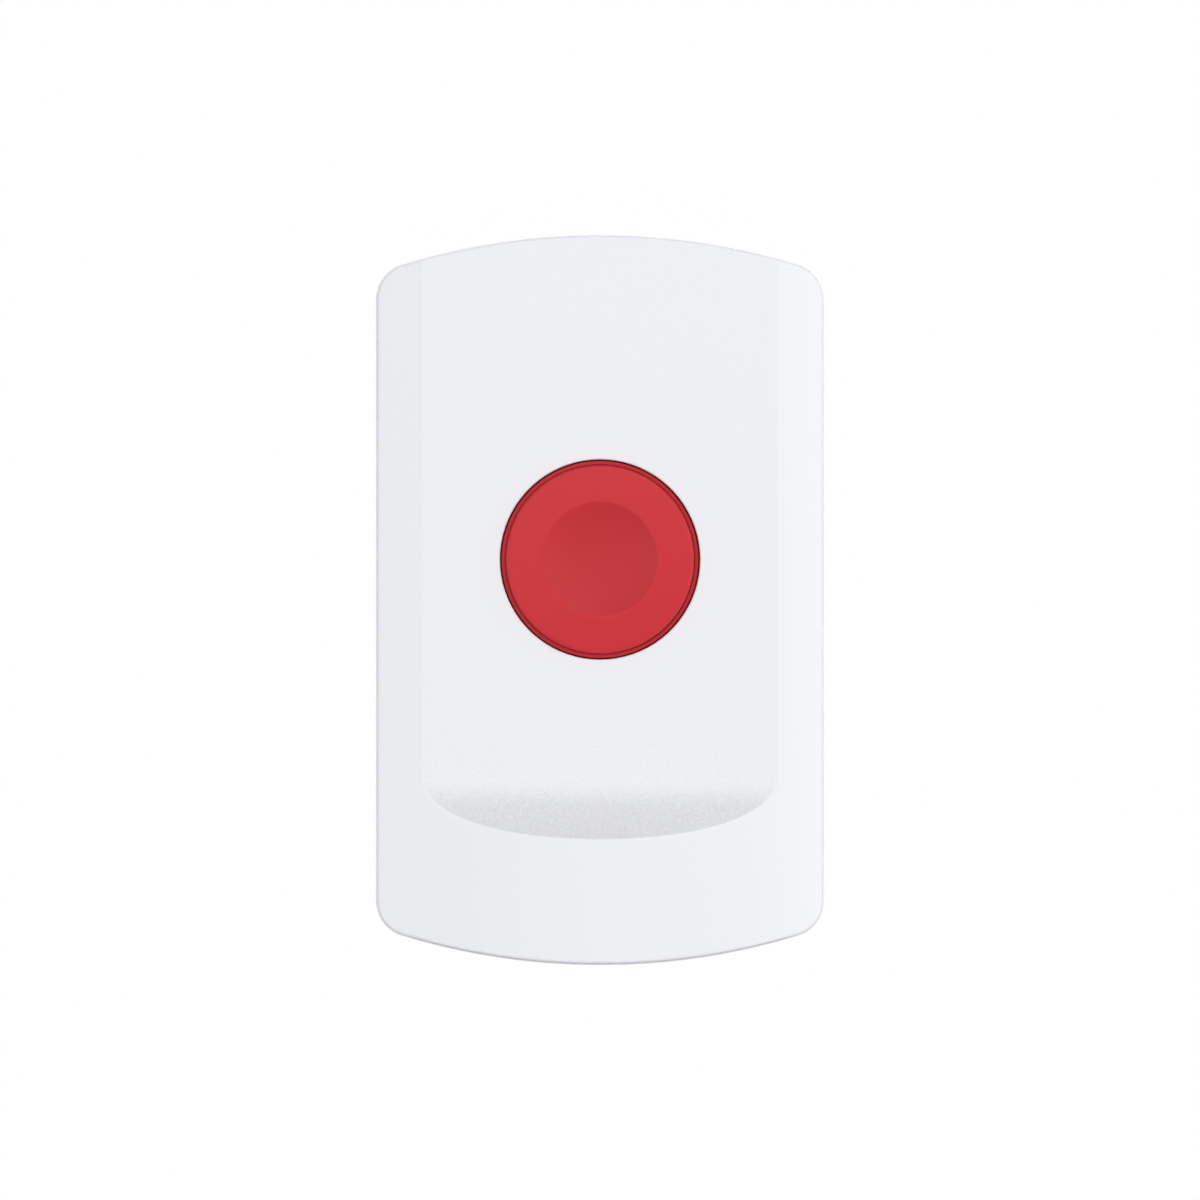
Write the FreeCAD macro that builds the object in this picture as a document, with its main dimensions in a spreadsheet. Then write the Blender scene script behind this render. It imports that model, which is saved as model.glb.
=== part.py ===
import FreeCAD, Part
import math
import os

import Sketcher

# Wireless panic button for a wall: a moulded front cover with a scooped panel, clipped over a wall plate,
# and a round cap that presses a tactile switch on the circuit board inside.
#
# +Z runs up the body, X runs across it and the front faces -Y. The wall is the plane Y = 0, so a distance
# from the wall, called a depth here, lies at Y = -depth. The origin is the middle of the wall plate's back.

SIZES = (
    ("body_width", 50.0, "moulded body, across"),
    ("body_height", 81.5, "moulded body, top to bottom at its middle"),
    ("body_depth", 19.0, "wall to the highest line of the crowned front"),
    ("end_arc_radius", 75.7, "bulging top and bottom ends, seen from the front"),
    ("corner_radius", 4.1, "corners, seen from the front"),
    ("draft_angle", 1.0, "side walls lean in towards the front, degrees"),
    ("crown_radius", 76.0, "front surface, curved across the body"),
    ("panel_half_width", 19.8, "middle of the body to the crease beside the flat panel"),
    ("scoop_end_drop", 26.6, "middle of the body down to the foot of the scoop"),
    ("scoop_run", 6.7, "height of the curved ramp that ends the panel"),
    ("crease_radius", 0.6, "rounding of the creases round the panel"),
    ("front_edge_radius", 0.35, "rounding of the outer front edge"),
    ("shell_wall", 2.0, "wall of the moulded cover"),
    ("rim_gap", 0.4, "wall to the rim of the cover"),
    ("button_height", 4.5, "middle of the body up to the button's axis"),
    ("hole_radius", 11.12, "hole in the panel for the cap"),
    ("hole_edge_radius", 0.2, "rounding of the hole's front edge"),
    ("cap_clearance", 0.15, "cap to the hole, all round"),
    ("cap_step_width", 0.53, "ledge round the cap's face"),
    ("cap_step_drop", 0.6, "ledge below the panel"),
    ("cap_rise", 1.2, "top of the cap's dome above the panel"),
    ("cap_dome_radius", 76.0, "dome of the cap's face"),
    ("cap_edge_radius", 0.3, "rounding of the face's edge"),
    ("cap_wall", 1.75, "skirt of the cap"),
    ("cap_floor", 1.3, "cap's face at the deepest point of the dish"),
    ("dish_radius", 6.42, "finger dish in the cap"),
    ("dish_depth", 1.2, "finger dish in the cap"),
    ("dish_edge_radius", 0.9, "rounding of the dish's edge"),
    ("band_reach", 1.5, "guide band beyond the cap's skirt"),
    ("band_length", 2.0, "guide band along the axis"),
    ("button_travel", 1.0, "stroke of the cap and the plunger"),
    ("post_radius", 1.6, "post under the cap"),
    ("collar_clearance", 0.15, "guide band to the collar"),
    ("collar_wall", 1.3, "collar behind the panel"),
    ("collar_overrun", 0.5, "collar behind the pressed guide band"),
    ("key_width", 1.2, "keys that stop the cap turning"),
    ("key_reach", 0.8, "keys, inwards past the guide band's edge"),
    ("key_clearance", 0.2, "keys to their notches"),
    ("spring_radius", 5.5, "return spring, mean"),
    ("spring_wire", 0.5, "return spring"),
    ("spring_turns", 4.0, "return spring"),
    ("plate_clearance", 0.25, "wall plate to the cover's walls"),
    ("plate_thickness", 1.6, "wall plate"),
    ("plate_rib_width", 1.2, "rib round the wall plate"),
    ("plate_rib_height", 1.3, "rib above the plate, under the cover's ledges"),
    ("ledge_reach", 1.2, "ledges inside the cover's ends"),
    ("ledge_thickness", 1.3, "ledges inside the cover's ends"),
    ("hook_width", 6.0, "each hook of the wall plate"),
    ("hook_place", 12.0, "middle to an upper hook"),
    ("hook_thickness", 1.3, "stem of a hook"),
    ("hook_overlap", 0.7, "hook over its ledge"),
    ("hook_head", 1.2, "head of a hook"),
    ("hook_clearance", 0.2, "hook to its ledge"),
    ("ledge_margin", 1.0, "ledge beyond each side of its hook"),
    ("pry_width", 10.0, "opening notch in the bottom rim"),
    ("pry_depth", 1.6, "opening notch in the bottom rim"),
    ("wall_screw_place", 27.0, "middle of the plate to each wall screw hole"),
    ("wall_screw_radius", 2.1, "wall screw holes"),
    ("countersink_radius", 3.9, "wall screw holes"),
    ("wall_boss_radius", 5.0, "thick ring round each wall screw hole"),
    ("wall_boss_height", 1.0, "thick ring round each wall screw hole"),
    ("front_space", 5.0, "circuit board to the back of the panel"),
    ("board_thickness", 1.6, "circuit board"),
    ("board_width", 41.0, "circuit board"),
    ("board_length", 62.0, "circuit board"),
    ("board_corner_radius", 3.0, "circuit board"),
    ("board_screw_x", 17.3, "middle of the board to a screw, across"),
    ("board_screw_z", 27.5, "middle of the board to a screw, up"),
    ("boss_radius", 2.4, "bosses of the cover that hold the board"),
    ("screw_radius", 0.75, "shank of a board screw"),
    ("screw_length", 5.5, "shank of a board screw"),
    ("screw_head_radius", 1.9, "head of a board screw"),
    ("screw_head_height", 1.2, "head of a board screw"),
    ("screw_slot_width", 0.5, "cross recess of a board screw"),
    ("screw_slot_length", 2.2, "cross recess of a board screw"),
    ("screw_slot_depth", 0.6, "cross recess of a board screw"),
    ("pilot_clearance", 0.05, "screw to its pilot hole"),
    ("pilot_depth", 4.5, "pilot holes in the bosses"),
    ("board_hole_clearance", 0.35, "screw to its hole in the board"),
    ("switch_width", 6.0, "tactile switch, square"),
    ("switch_base_height", 3.2, "tactile switch, moulded base"),
    ("switch_wall", 0.45, "tactile switch, beside and below its well"),
    ("switch_plate_thickness", 0.3, "tactile switch, steel top"),
    ("switch_peg_radius", 0.35, "pegs that hold the steel top"),
    ("switch_peg_place", 2.5, "middle of the switch to a peg, both ways"),
    ("switch_peg_rise", 0.2, "pegs above the steel top"),
    ("plunger_radius", 1.75, "plunger of the switch"),
    ("plunger_rise", 1.5, "plunger above the steel top"),
    ("plunger_foot_reach", 0.5, "foot of the plunger beyond its stem"),
    ("plunger_foot_height", 0.9, "foot of the plunger"),
    ("plunger_clearance", 0.1, "plunger to the steel top's hole"),
    ("snap_dome_radius", 2.3, "contact dome under the plunger"),
    ("snap_dome_rise", 0.55, "contact dome under the plunger"),
    ("snap_dome_sheet", 0.15, "contact dome under the plunger"),
    ("terminal_width", 0.7, "legs of the switch"),
    ("terminal_sheet", 0.2, "legs of the switch"),
    ("terminal_reach", 0.9, "legs of the switch beyond its side"),
    ("terminal_rise", 1.2, "legs of the switch up its side"),
    ("terminal_place", 1.9, "middle of the switch to a leg, up"),
    ("cell_drop", 9.0, "middle of the board down to the coin cell's axis"),
    ("cell_radius", 10.0, "coin cell"),
    ("cell_thickness", 3.2, "coin cell"),
    ("cell_step_width", 1.3, "coin cell, rim of the case round its lid"),
    ("cell_step_depth", 0.25, "coin cell, lid below the rim of the case"),
    ("cell_clearance", 0.2, "coin cell to its holder"),
    ("holder_wall", 1.2, "wall of the cell holder"),
    ("holder_floor", 0.5, "floor of the cell holder"),
    ("holder_height", 3.0, "cell holder behind the board"),
    ("holder_gap_width", 9.0, "gap in the holder's lower side, for a fingernail"),
    ("contact_sheet", 0.2, "strips that touch the coin cell"),
    ("contact_width", 5.0, "strips that touch the coin cell"),
    ("contact_clearance", 0.3, "strip to the holder"),
    ("contact_foot", 1.6, "soldered feet of the upper strip"),
    ("lower_contact_length", 12.0, "strip under the coin cell"),
    ("radio_width", 6.0, "radio chip, square"),
    ("radio_height", 0.9, "radio chip"),
    ("radio_x", -9.5, "radio chip, across from the middle"),
    ("radio_z", -18.0, "radio chip, up from the middle"),
    ("crystal_width", 3.2, "crystal"),
    ("crystal_length", 5.0, "crystal"),
    ("crystal_height", 1.1, "crystal"),
    ("crystal_gap", 1.5, "crystal to the radio chip"),
    ("chip_width", 0.8, "small chip components"),
    ("chip_length", 1.6, "small chip components"),
    ("chip_height", 0.7, "small chip components"),
    ("chip_pitch", 2.6, "between small chip components"),
    ("reservoir_radius", 2.5, "reservoir capacitor"),
    ("reservoir_height", 4.4, "reservoir capacitor"),
    ("reservoir_groove", 0.3, "rolled groove of the reservoir capacitor"),
    ("reservoir_foot", 0.9, "moulded foot of the reservoir capacitor"),
    ("reservoir_x", 11.0, "reservoir capacitor, across from the middle"),
    ("reservoir_z", -18.0, "reservoir capacitor, up from the middle"),
    ("antenna_radius", 1.7, "wound antenna, mean"),
    ("antenna_wire", 0.6, "wound antenna"),
    ("antenna_pitch", 1.6, "wound antenna"),
    ("antenna_turns", 6.0, "wound antenna"),
    ("antenna_lift", 0.5, "lowest point of the antenna's turns above the board"),
    ("antenna_x", -3.0, "soldered end of the antenna, across from the middle"),
    ("antenna_z", 25.0, "antenna, up from the middle"),
)

# A cutting outline reaches this far past the solid that it cuts, and a joined pad this far into its wall.
PAST = 3.0
HALF_WALL = "Sizes.shell_wall/2"

Vector = FreeCAD.Vector
Constraint = Sketcher.Constraint

# Depths and radii that follow from the sizes.
PANEL = "(Sizes.body_depth - Sizes.crown_radius + sqrt(Sizes.crown_radius^2 - Sizes.panel_half_width^2))"
PANEL_BACK = f"({PANEL} - Sizes.shell_wall)"
RAMP_RISE = f"(Sizes.body_depth - {PANEL})"
RAMP_RADIUS = f"((Sizes.scoop_run^2 + {RAMP_RISE}^2)/(2*{RAMP_RISE}))"
RAMP_TOP = "(Sizes.scoop_run - Sizes.scoop_end_drop)"
CAP_SKIRT = "(Sizes.hole_radius - Sizes.cap_clearance)"
CAP_FACE = f"({CAP_SKIRT} - Sizes.cap_step_width)"
CAP_HOLLOW = f"({CAP_SKIRT} - Sizes.cap_wall)"
BAND = f"({CAP_SKIRT} + Sizes.band_reach)"
BAND_BACK = f"({PANEL_BACK} - Sizes.band_length)"
COLLAR_INNER = f"({BAND} + Sizes.collar_clearance)"
COLLAR_BACK = f"({BAND_BACK} - Sizes.button_travel - Sizes.collar_overrun)"
COLLAR_LENGTH = f"({PANEL} - {HALF_WALL} - {COLLAR_BACK})"
DOME_CENTRE = f"({PANEL} + Sizes.cap_rise - Sizes.cap_dome_radius)"
FACE_EDGE = f"({DOME_CENTRE} + sqrt(Sizes.cap_dome_radius^2 - {CAP_FACE}^2))"
DISH_EDGE = f"({DOME_CENTRE} + sqrt(Sizes.cap_dome_radius^2 - Sizes.dish_radius^2))"
DISH_CURVE = "((Sizes.dish_radius^2 + Sizes.dish_depth^2)/(2*Sizes.dish_depth))"
CAP_UNDERSIDE = f"({DISH_EDGE} - Sizes.dish_depth - Sizes.cap_floor)"
BOARD_FRONT = f"({PANEL_BACK} - Sizes.front_space)"
BOARD_BACK = f"({BOARD_FRONT} - Sizes.board_thickness)"
SCREW_BACK = f"({BOARD_BACK} - Sizes.screw_head_height)"
SWITCH_TOP = f"({BOARD_FRONT} + Sizes.switch_base_height)"
SWITCH_PLATE_TOP = f"({SWITCH_TOP} + Sizes.switch_plate_thickness)"
PLUNGER_TOP = f"({SWITCH_PLATE_TOP} + Sizes.plunger_rise)"
WELL_FLOOR = f"({BOARD_FRONT} + Sizes.switch_wall)"
WELL_RADIUS = "(Sizes.switch_width/2 - Sizes.switch_wall)"
RIB_TOP = "(Sizes.plate_thickness + Sizes.plate_rib_height)"
LEDGE_TOP = f"({RIB_TOP} + Sizes.ledge_thickness)"
LEDGE_EDGE = "(Sizes.shell_wall + Sizes.ledge_reach)"
HOOK_FACE = f"({LEDGE_EDGE} + Sizes.hook_clearance)"
PLATE_EDGE = "(Sizes.shell_wall + Sizes.plate_clearance)"
HOLDER_FLOOR = f"({BOARD_BACK} - Sizes.holder_floor)"
CELL_FRONT = f"({HOLDER_FLOOR} - Sizes.contact_sheet)"
CELL_BACK = f"({CELL_FRONT} - Sizes.cell_thickness)"
HOLDER_RADIUS = "(Sizes.cell_radius + Sizes.cell_clearance + Sizes.holder_wall)"

document = FreeCAD.newDocument("panic_button")
sheet = document.addObject("Spreadsheet::Sheet", "Sizes")
for row, (alias, value, meaning) in enumerate(SIZES, start=1):
    sheet.set(f"A{row}", alias)
    sheet.set(f"B{row}", str(value))
    sheet.set(f"C{row}", meaning)
    sheet.setAlias(f"B{row}", alias)
document.recompute()


def size(expression):
    """Value of an expression in the sheet's sizes."""
    result = sheet.evalExpression(expression)
    return float(getattr(result, "Value", result))


def new_body(label):
    """Empty body whose label is the piece's name."""
    body = document.addObject("PartDesign::Body", label)
    body.Label = label
    return body


def new_sketch(body, name, role, depth=None, up=None):
    """Sketch on an origin plane of the body, moved out by depth and, within the plane, up."""
    sketch = body.newObject("Sketcher::SketchObject", name)
    planes = [plane for plane in body.Origin.OriginFeatures if plane.Role == role]
    sketch.AttachmentSupport = [(planes[0], "")]
    sketch.MapMode = "FlatFace"
    if depth:
        sketch.setExpression("AttachmentOffset.Base.z", depth)
    if up:
        sketch.setExpression("AttachmentOffset.Base.y", up)
    return sketch


def front_sketch(body, name, depth=None, up=None):
    """Sketch seen from the front, X across and Z up, at a depth from the wall."""
    return new_sketch(body, name, "XZ_Plane", depth, up)


def drive(sketch, name, expression, kind, *references):
    """Add a dimension and bind it to an expression."""
    index = sketch.addConstraint(Constraint(kind, *references, size(expression)))
    sketch.renameConstraint(index, name)
    sketch.setExpression("Constraints." + name, expression)


def place(sketch, name, geometry, point, across, up):
    """Bind a point of the sketch to a place given by two expressions."""
    for suffix, expression, kind, line in (("_x", across, "DistanceX", -2), ("_y", up, "DistanceY", -1)):
        value = size(expression)
        if abs(value) < 1e-9:
            sketch.addConstraint(Constraint("PointOnObject", geometry, point, line))
        elif value > 0:
            drive(sketch, name + suffix, expression, kind, -1, 1, geometry, point)
        else:
            drive(sketch, name + suffix, f"-({expression})", kind, geometry, point, -1, 1)


def circle(sketch, radius, across="0", up="0", name="circle"):
    """Circle whose centre and radius are expressions."""
    middle = Vector(size(across), size(up), 0)
    index = sketch.addGeometry(Part.Circle(middle, Vector(0, 0, 1), size(radius)))
    place(sketch, name, index, 3, across, up)
    drive(sketch, name + "_radius", radius, "Radius", index)


def arc_between(start, end, radius, side):
    """Arc from start to end that bulges to the left, side 1, or to the right, side -1, and the numbers
    of its points at start and end."""
    chord = end - start
    left = Vector(-chord.y, chord.x, 0).normalize()
    middle = (start + end) * 0.5 - left * (side * math.sqrt(radius**2 - (chord.Length / 2) ** 2))
    angles = [math.atan2(point.y - middle.y, point.x - middle.x) for point in (start, end)]
    if side > 0:
        angles.reverse()
    if angles[1] < angles[0]:
        angles[1] += 2 * math.pi
    arc = Part.ArcOfCircle(Part.Circle(middle, Vector(0, 0, 1), radius), *angles)
    return arc, (2, 1) if side > 0 else (1, 2)


def chain(sketch, corners, arcs=None, name="corner"):
    """Closed outline through corners, each a pair of expressions. arcs gives the radius and the side of
    each stretch that isn't straight, by the number of the corner that it leaves."""
    arcs = arcs or {}
    points = [Vector(size(across), size(up), 0) for across, up in corners]
    stretches = []
    for number, start in enumerate(points):
        end = points[(number + 1) % len(points)]
        if number in arcs:
            shape, ends = arc_between(start, end, size(arcs[number][0]), arcs[number][1])
        else:
            shape, ends = Part.LineSegment(start, end), (1, 2)
        stretches.append((sketch.addGeometry(shape), *ends))
    for number, (edge, first, last) in enumerate(stretches):
        next_edge, next_first, _ = stretches[(number + 1) % len(stretches)]
        sketch.addConstraint(Constraint("Coincident", edge, last, next_edge, next_first))
        place(sketch, f"{name}{number}", edge, first, *corners[number])
        if number in arcs:
            drive(sketch, f"{name}{number}_radius", arcs[number][0], "Radius", edge)


def rectangle(sketch, left, bottom, right, top, name="corner"):
    """Rectangle between two corners given by expressions."""
    chain(sketch, ((left, bottom), (right, bottom), (right, top), (left, top)), name=name)


def body_outline(sketch, inset):
    """The body's outline as seen from the front, with bulging ends and round corners, all moved inwards
    by inset. Its eight stretches run into each other without a kink."""
    end_radius = size(f"Sizes.end_arc_radius - {inset}")
    corner = size(f"Sizes.corner_radius - {inset}")
    side = size(f"Sizes.body_width/2 - {inset}")
    top = size(f"Sizes.body_height/2 - {inset}")
    end_middle = top - end_radius
    across = side - corner
    up = end_middle + math.sqrt((end_radius - corner) ** 2 - across**2)
    lean = math.atan2(up - end_middle, across)

    def arc(x, z, radius, start, end):
        round_line = Part.Circle(Vector(x, z, 0), Vector(0, 0, 1), radius)
        return sketch.addGeometry(Part.ArcOfCircle(round_line, start, end))

    def line(x, start, end):
        return sketch.addGeometry(Part.LineSegment(Vector(x, start, 0), Vector(x, end, 0)))

    right = line(side, -up, up)
    upper_right = arc(across, up, corner, 0, lean)
    upper = arc(0, end_middle, end_radius, lean, math.pi - lean)
    upper_left = arc(-across, up, corner, math.pi - lean, math.pi)
    left = line(-side, up, -up)
    lower_left = arc(-across, -up, corner, math.pi, math.pi + lean)
    lower = arc(0, -end_middle, end_radius, math.pi + lean, 2 * math.pi - lean)
    lower_right = arc(across, -up, corner, 2 * math.pi - lean, 2 * math.pi)
    stretches = (right, upper_right, upper, upper_left, left, lower_left, lower, lower_right)
    for number, edge in enumerate(stretches):
        sketch.addConstraint(Constraint("Tangent", edge, 2, stretches[(number + 1) % len(stretches)], 1))
    for edge in (right, left):
        sketch.addConstraint(Constraint("Vertical", edge))
    for edge in (upper_left, lower_left, lower_right):
        sketch.addConstraint(Constraint("Equal", upper_right, edge))
    sketch.addConstraint(Constraint("Equal", upper, lower))
    for name, edge, height in (("top", upper, top), ("bottom", lower, -top)):
        tip = sketch.addGeometry(Part.Point(Vector(0, height, 0)), True)
        sketch.addConstraint(Constraint("PointOnObject", edge, 3, -2))
        sketch.addConstraint(Constraint("PointOnObject", tip, 1, edge))
        sign = "" if height > 0 else "-"
        place(sketch, name, tip, 1, "0", f"{sign}(Sizes.body_height/2 - {inset})")
    place_side = f"Sizes.body_width/2 - {inset}"
    drive(sketch, "right_side", place_side, "DistanceX", -1, 1, right, 1)
    drive(sketch, "left_side", place_side, "DistanceX", left, 1, -1, 1)
    drive(sketch, "end_radius", f"Sizes.end_arc_radius - {inset}", "Radius", upper)
    drive(sketch, "corner_radius", f"Sizes.corner_radius - {inset}", "Radius", upper_right)


def end_strip(sketch, end, outer, inner, left, right, name="strip"):
    """Strip that follows the body's bulging end, top for end 1 and bottom for end -1, between two insets
    from the outline and between two places across."""

    def height(inset, across):
        radius = f"(Sizes.end_arc_radius - {inset})"
        middle = "(Sizes.body_height/2 - Sizes.end_arc_radius)"
        return f"{end}*({middle} + sqrt({radius}^2 - ({across})^2))"

    corners = (
        (left, height(inner, left)),
        (right, height(inner, right)),
        (right, height(outer, right)),
        (left, height(outer, left)),
    )
    bulges = {
        0: (f"(Sizes.end_arc_radius - {inner})", end),
        2: (f"(Sizes.end_arc_radius - {outer})", -end),
    }
    chain(sketch, corners, bulges, name)


def pad(body, sketch, length, taper=None):
    """Pad the sketch along its normal."""
    feature = body.newObject("PartDesign::Pad", sketch.Name + "_pad")
    feature.Profile = sketch
    feature.setExpression("Length", length)
    if taper:
        feature.setExpression("TaperAngle", taper)
    document.recompute()
    return feature


def pocket(body, sketch, depth=None, both_ways=False, forwards=False):
    """Cut the sketch away behind its plane, or in front of it, or both ways and right through."""
    before = body.Shape.Volume
    feature = body.newObject("PartDesign::Pocket", sketch.Name + "_cut")
    feature.Profile = sketch
    feature.Reversed = forwards
    if both_ways:
        feature.SideType = "Symmetric"
    if depth:
        feature.setExpression("Length", depth)
    else:
        feature.Type = "ThroughAll"
    document.recompute()
    if not feature.Shape.Volume < before:
        raise RuntimeError(f"{sketch.Name} cuts nothing from {body.Label}")
    return feature


def revolve(body, sketch):
    """Turn the sketch once round its own horizontal axis."""
    feature = body.newObject("PartDesign::Revolution", sketch.Name + "_turn")
    feature.Profile = sketch
    feature.ReferenceAxis = (sketch, ["H_Axis"])
    feature.Angle = 360
    document.recompute()
    return feature


def pattern_round(body, feature, sketch, count):
    """Repeat a feature about the middle of its sketch."""
    polar = body.newObject("PartDesign::PolarPattern", feature.Name + "_pattern")
    polar.Originals = [feature]
    polar.Axis = (sketch, ["N_Axis"])
    polar.Angle = 360
    polar.Occurrences = count
    body.Tip = polar
    document.recompute()


def middle_of(edge):
    """Point halfway along an edge."""
    return edge.valueAt((edge.FirstParameter + edge.LastParameter) / 2)


def edges_near(shape, points):
    """Names of the shape's edges whose middles are the given points."""
    return [
        f"Edge{number}"
        for number, edge in enumerate(shape.Edges, start=1)
        if any((middle_of(edge) - point).Length < 1e-3 for point in points)
    ]


def circle_edges(shape, radius, depth):
    """Names of the round edges of a radius at a depth."""
    return [
        f"Edge{number}"
        for number, edge in enumerate(shape.Edges, start=1)
        if not edge.Degenerated
        and edge.Curve.TypeId == "Part::GeomCircle"
        and abs(edge.Curve.Radius - size(radius)) < 1e-4
        and abs(edge.Curve.Center.y + size(depth)) < 1e-4
    ]


def fillet(body, names, radius):
    """Round the named edges of the body's last shape."""
    if not names:
        raise RuntimeError(f"no edge to round on {body.Label}")
    base = body.Tip
    feature = body.newObject("PartDesign::Fillet", base.Name + "_round")
    feature.Base = (base, names)
    feature.setExpression("Radius", radius)
    document.recompute()
    return feature


def scooped_form(label, inset):
    """The body's form, moved inwards by inset: a drafted block with a crowned front and a flat panel
    that a curved ramp ends below."""
    body = new_body(label)
    outline = front_sketch(body, label + "_outline", "Sizes.rim_gap" if inset == "0" else None)
    body_outline(outline, inset)
    start = "Sizes.rim_gap" if inset == "0" else "0"
    pad(body, outline, f"Sizes.body_depth + {PAST} - {start}", "-Sizes.draft_angle")

    crown = new_sketch(body, label + "_crown", "XY_Plane")
    half = f"(Sizes.body_width/2 + {PAST})"
    radius = f"(Sizes.crown_radius - {inset})"
    shoulder = f"(Sizes.crown_radius - Sizes.body_depth - sqrt({radius}^2 - {half}^2))"
    front = f"-(Sizes.body_depth + 2*{PAST})"
    corners = (("-" + half, front), (half, front), (half, shoulder), ("-" + half, shoulder))
    chain(crown, corners, {2: (radius, 1)})
    pocket(body, crown, both_ways=True)

    scoop = new_sketch(body, label + "_scoop", "YZ_Plane")
    floor = f"-({PANEL} - {inset})"
    ramp_end = f"-({PANEL} + {RAMP_RADIUS})"
    outside = f"-({PANEL} + {RAMP_RADIUS} + {PAST})"
    ramp_radius = f"({RAMP_RADIUS} + {inset})"
    foot = f"({RAMP_TOP} - {ramp_radius})"
    above = f"(Sizes.body_height/2 + {PAST})"
    corners = ((floor, above), (floor, RAMP_TOP), (ramp_end, foot), (outside, foot), (outside, above))
    chain(scoop, corners, {1: (ramp_radius, 1)})
    pocket(body, scoop, both_ways=True)
    return body


def front_edges(shape):
    """Middles of the outer front edges, between a side wall and the front, and of the creases round the
    panel, between two front faces that meet at a kink."""
    rim, creases = [], []
    for edge in shape.Edges:
        point = middle_of(edge)
        normals = []
        for face in shape.ancestorsOfType(edge, Part.Face):
            normals.append(face.normalAt(*face.Surface.parameter(point)))
        steep = [abs(normal.y) < 0.2 for normal in normals]
        kink = math.degrees(normals[0].getAngle(normals[1]))
        if point.y > -size("Sizes.rim_gap + Sizes.shell_wall") or kink < 2:
            continue
        if any(steep) and not all(steep):
            rim.append(point)
        elif not any(steep):
            creases.append(point)
    return rim, creases


# Each hook, and the ledge that it holds: the end of the body that it is at and where it lies across.
HOOKS = (
    (1, "-(Sizes.hook_place + Sizes.hook_width/2)", "-(Sizes.hook_place - Sizes.hook_width/2)"),
    (1, "(Sizes.hook_place - Sizes.hook_width/2)", "(Sizes.hook_place + Sizes.hook_width/2)"),
    (-1, "-(Sizes.hook_width/2)", "(Sizes.hook_width/2)"),
)


def front_cover():
    """Moulded cover: scooped shell with the button's hole and guide collar, bosses for the board, and
    ledges for the wall plate's hooks."""
    core = scooped_form("cover_core", "Sizes.shell_wall")
    body = scooped_form("front_cover", "0")
    rim, creases = front_edges(body.Shape)
    fillet(body, edges_near(body.Shape, creases), "Sizes.crease_radius")
    fillet(body, edges_near(body.Shape, rim), "Sizes.front_edge_radius")
    hollow = body.newObject("PartDesign::Boolean", "cover_hollow")
    hollow.setObjects([core])
    hollow.Type = "Cut"
    document.recompute()

    hole = front_sketch(body, "button_hole", PANEL_BACK, "Sizes.button_height")
    circle(hole, "Sizes.hole_radius")
    pocket(body, hole, forwards=True)
    fillet(body, circle_edges(body.Shape, "Sizes.hole_radius", PANEL), "Sizes.hole_edge_radius")

    collar = front_sketch(body, "collar", COLLAR_BACK, "Sizes.button_height")
    circle(collar, COLLAR_INNER, name="inner")
    circle(collar, f"{COLLAR_INNER} + Sizes.collar_wall", name="outer")
    pad(body, collar, COLLAR_LENGTH)
    key = front_sketch(body, "key", COLLAR_BACK, "Sizes.button_height")
    half = "Sizes.key_width/2"
    rectangle(key, f"-{half}", f"{BAND} - Sizes.key_reach", half, f"{COLLAR_INNER} + Sizes.collar_wall/2")
    pattern_round(body, pad(body, key, COLLAR_LENGTH), key, 3)

    crown_drop = "Sizes.crown_radius - sqrt(Sizes.crown_radius^2 - Sizes.board_screw_x^2)"
    crown_at_screw = f"(Sizes.body_depth - ({crown_drop}))"
    for name, sign, front in (("upper", "", PANEL), ("lower", "-", crown_at_screw)):
        bosses = front_sketch(body, name + "_bosses", BOARD_FRONT)
        for side, across in (("left", "-Sizes.board_screw_x"), ("right", "Sizes.board_screw_x")):
            circle(bosses, "Sizes.boss_radius", across, sign + "Sizes.board_screw_z", side)
        pad(body, bosses, f"{front} - {HALF_WALL} - {BOARD_FRONT}")
    pilots = front_sketch(body, "pilot_holes", BOARD_FRONT)
    at_board_screws(pilots, "Sizes.screw_radius + Sizes.pilot_clearance")
    pocket(body, pilots, "Sizes.pilot_depth", forwards=True)

    for number, (end, left, right) in enumerate(HOOKS):
        ledge = front_sketch(body, f"ledge{number}", RIB_TOP)
        margin = "Sizes.ledge_margin"
        end_strip(ledge, end, HALF_WALL, LEDGE_EDGE, f"{left} - {margin}", f"{right} + {margin}")
        pad(body, ledge, "Sizes.ledge_thickness")
    notch = front_sketch(body, "pry_notch", "Sizes.rim_gap + Sizes.pry_depth")
    bottom = f"-(Sizes.body_height/2 + {PAST})"
    half = "Sizes.pry_width/2"
    rectangle(notch, f"-{half}", bottom, half, f"-(Sizes.body_height/2 - {LEDGE_EDGE})")
    pocket(body, notch)


def at_board_screws(sketch, radius):
    """Circle at each of the four screws that hold the circuit board."""
    for row in ("", "-"):
        for column in ("", "-"):
            name = "screw" + ("_low" if row else "_high") + ("_left" if column else "_right")
            circle(sketch, radius, column + "Sizes.board_screw_x", row + "Sizes.board_screw_z", name)


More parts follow.
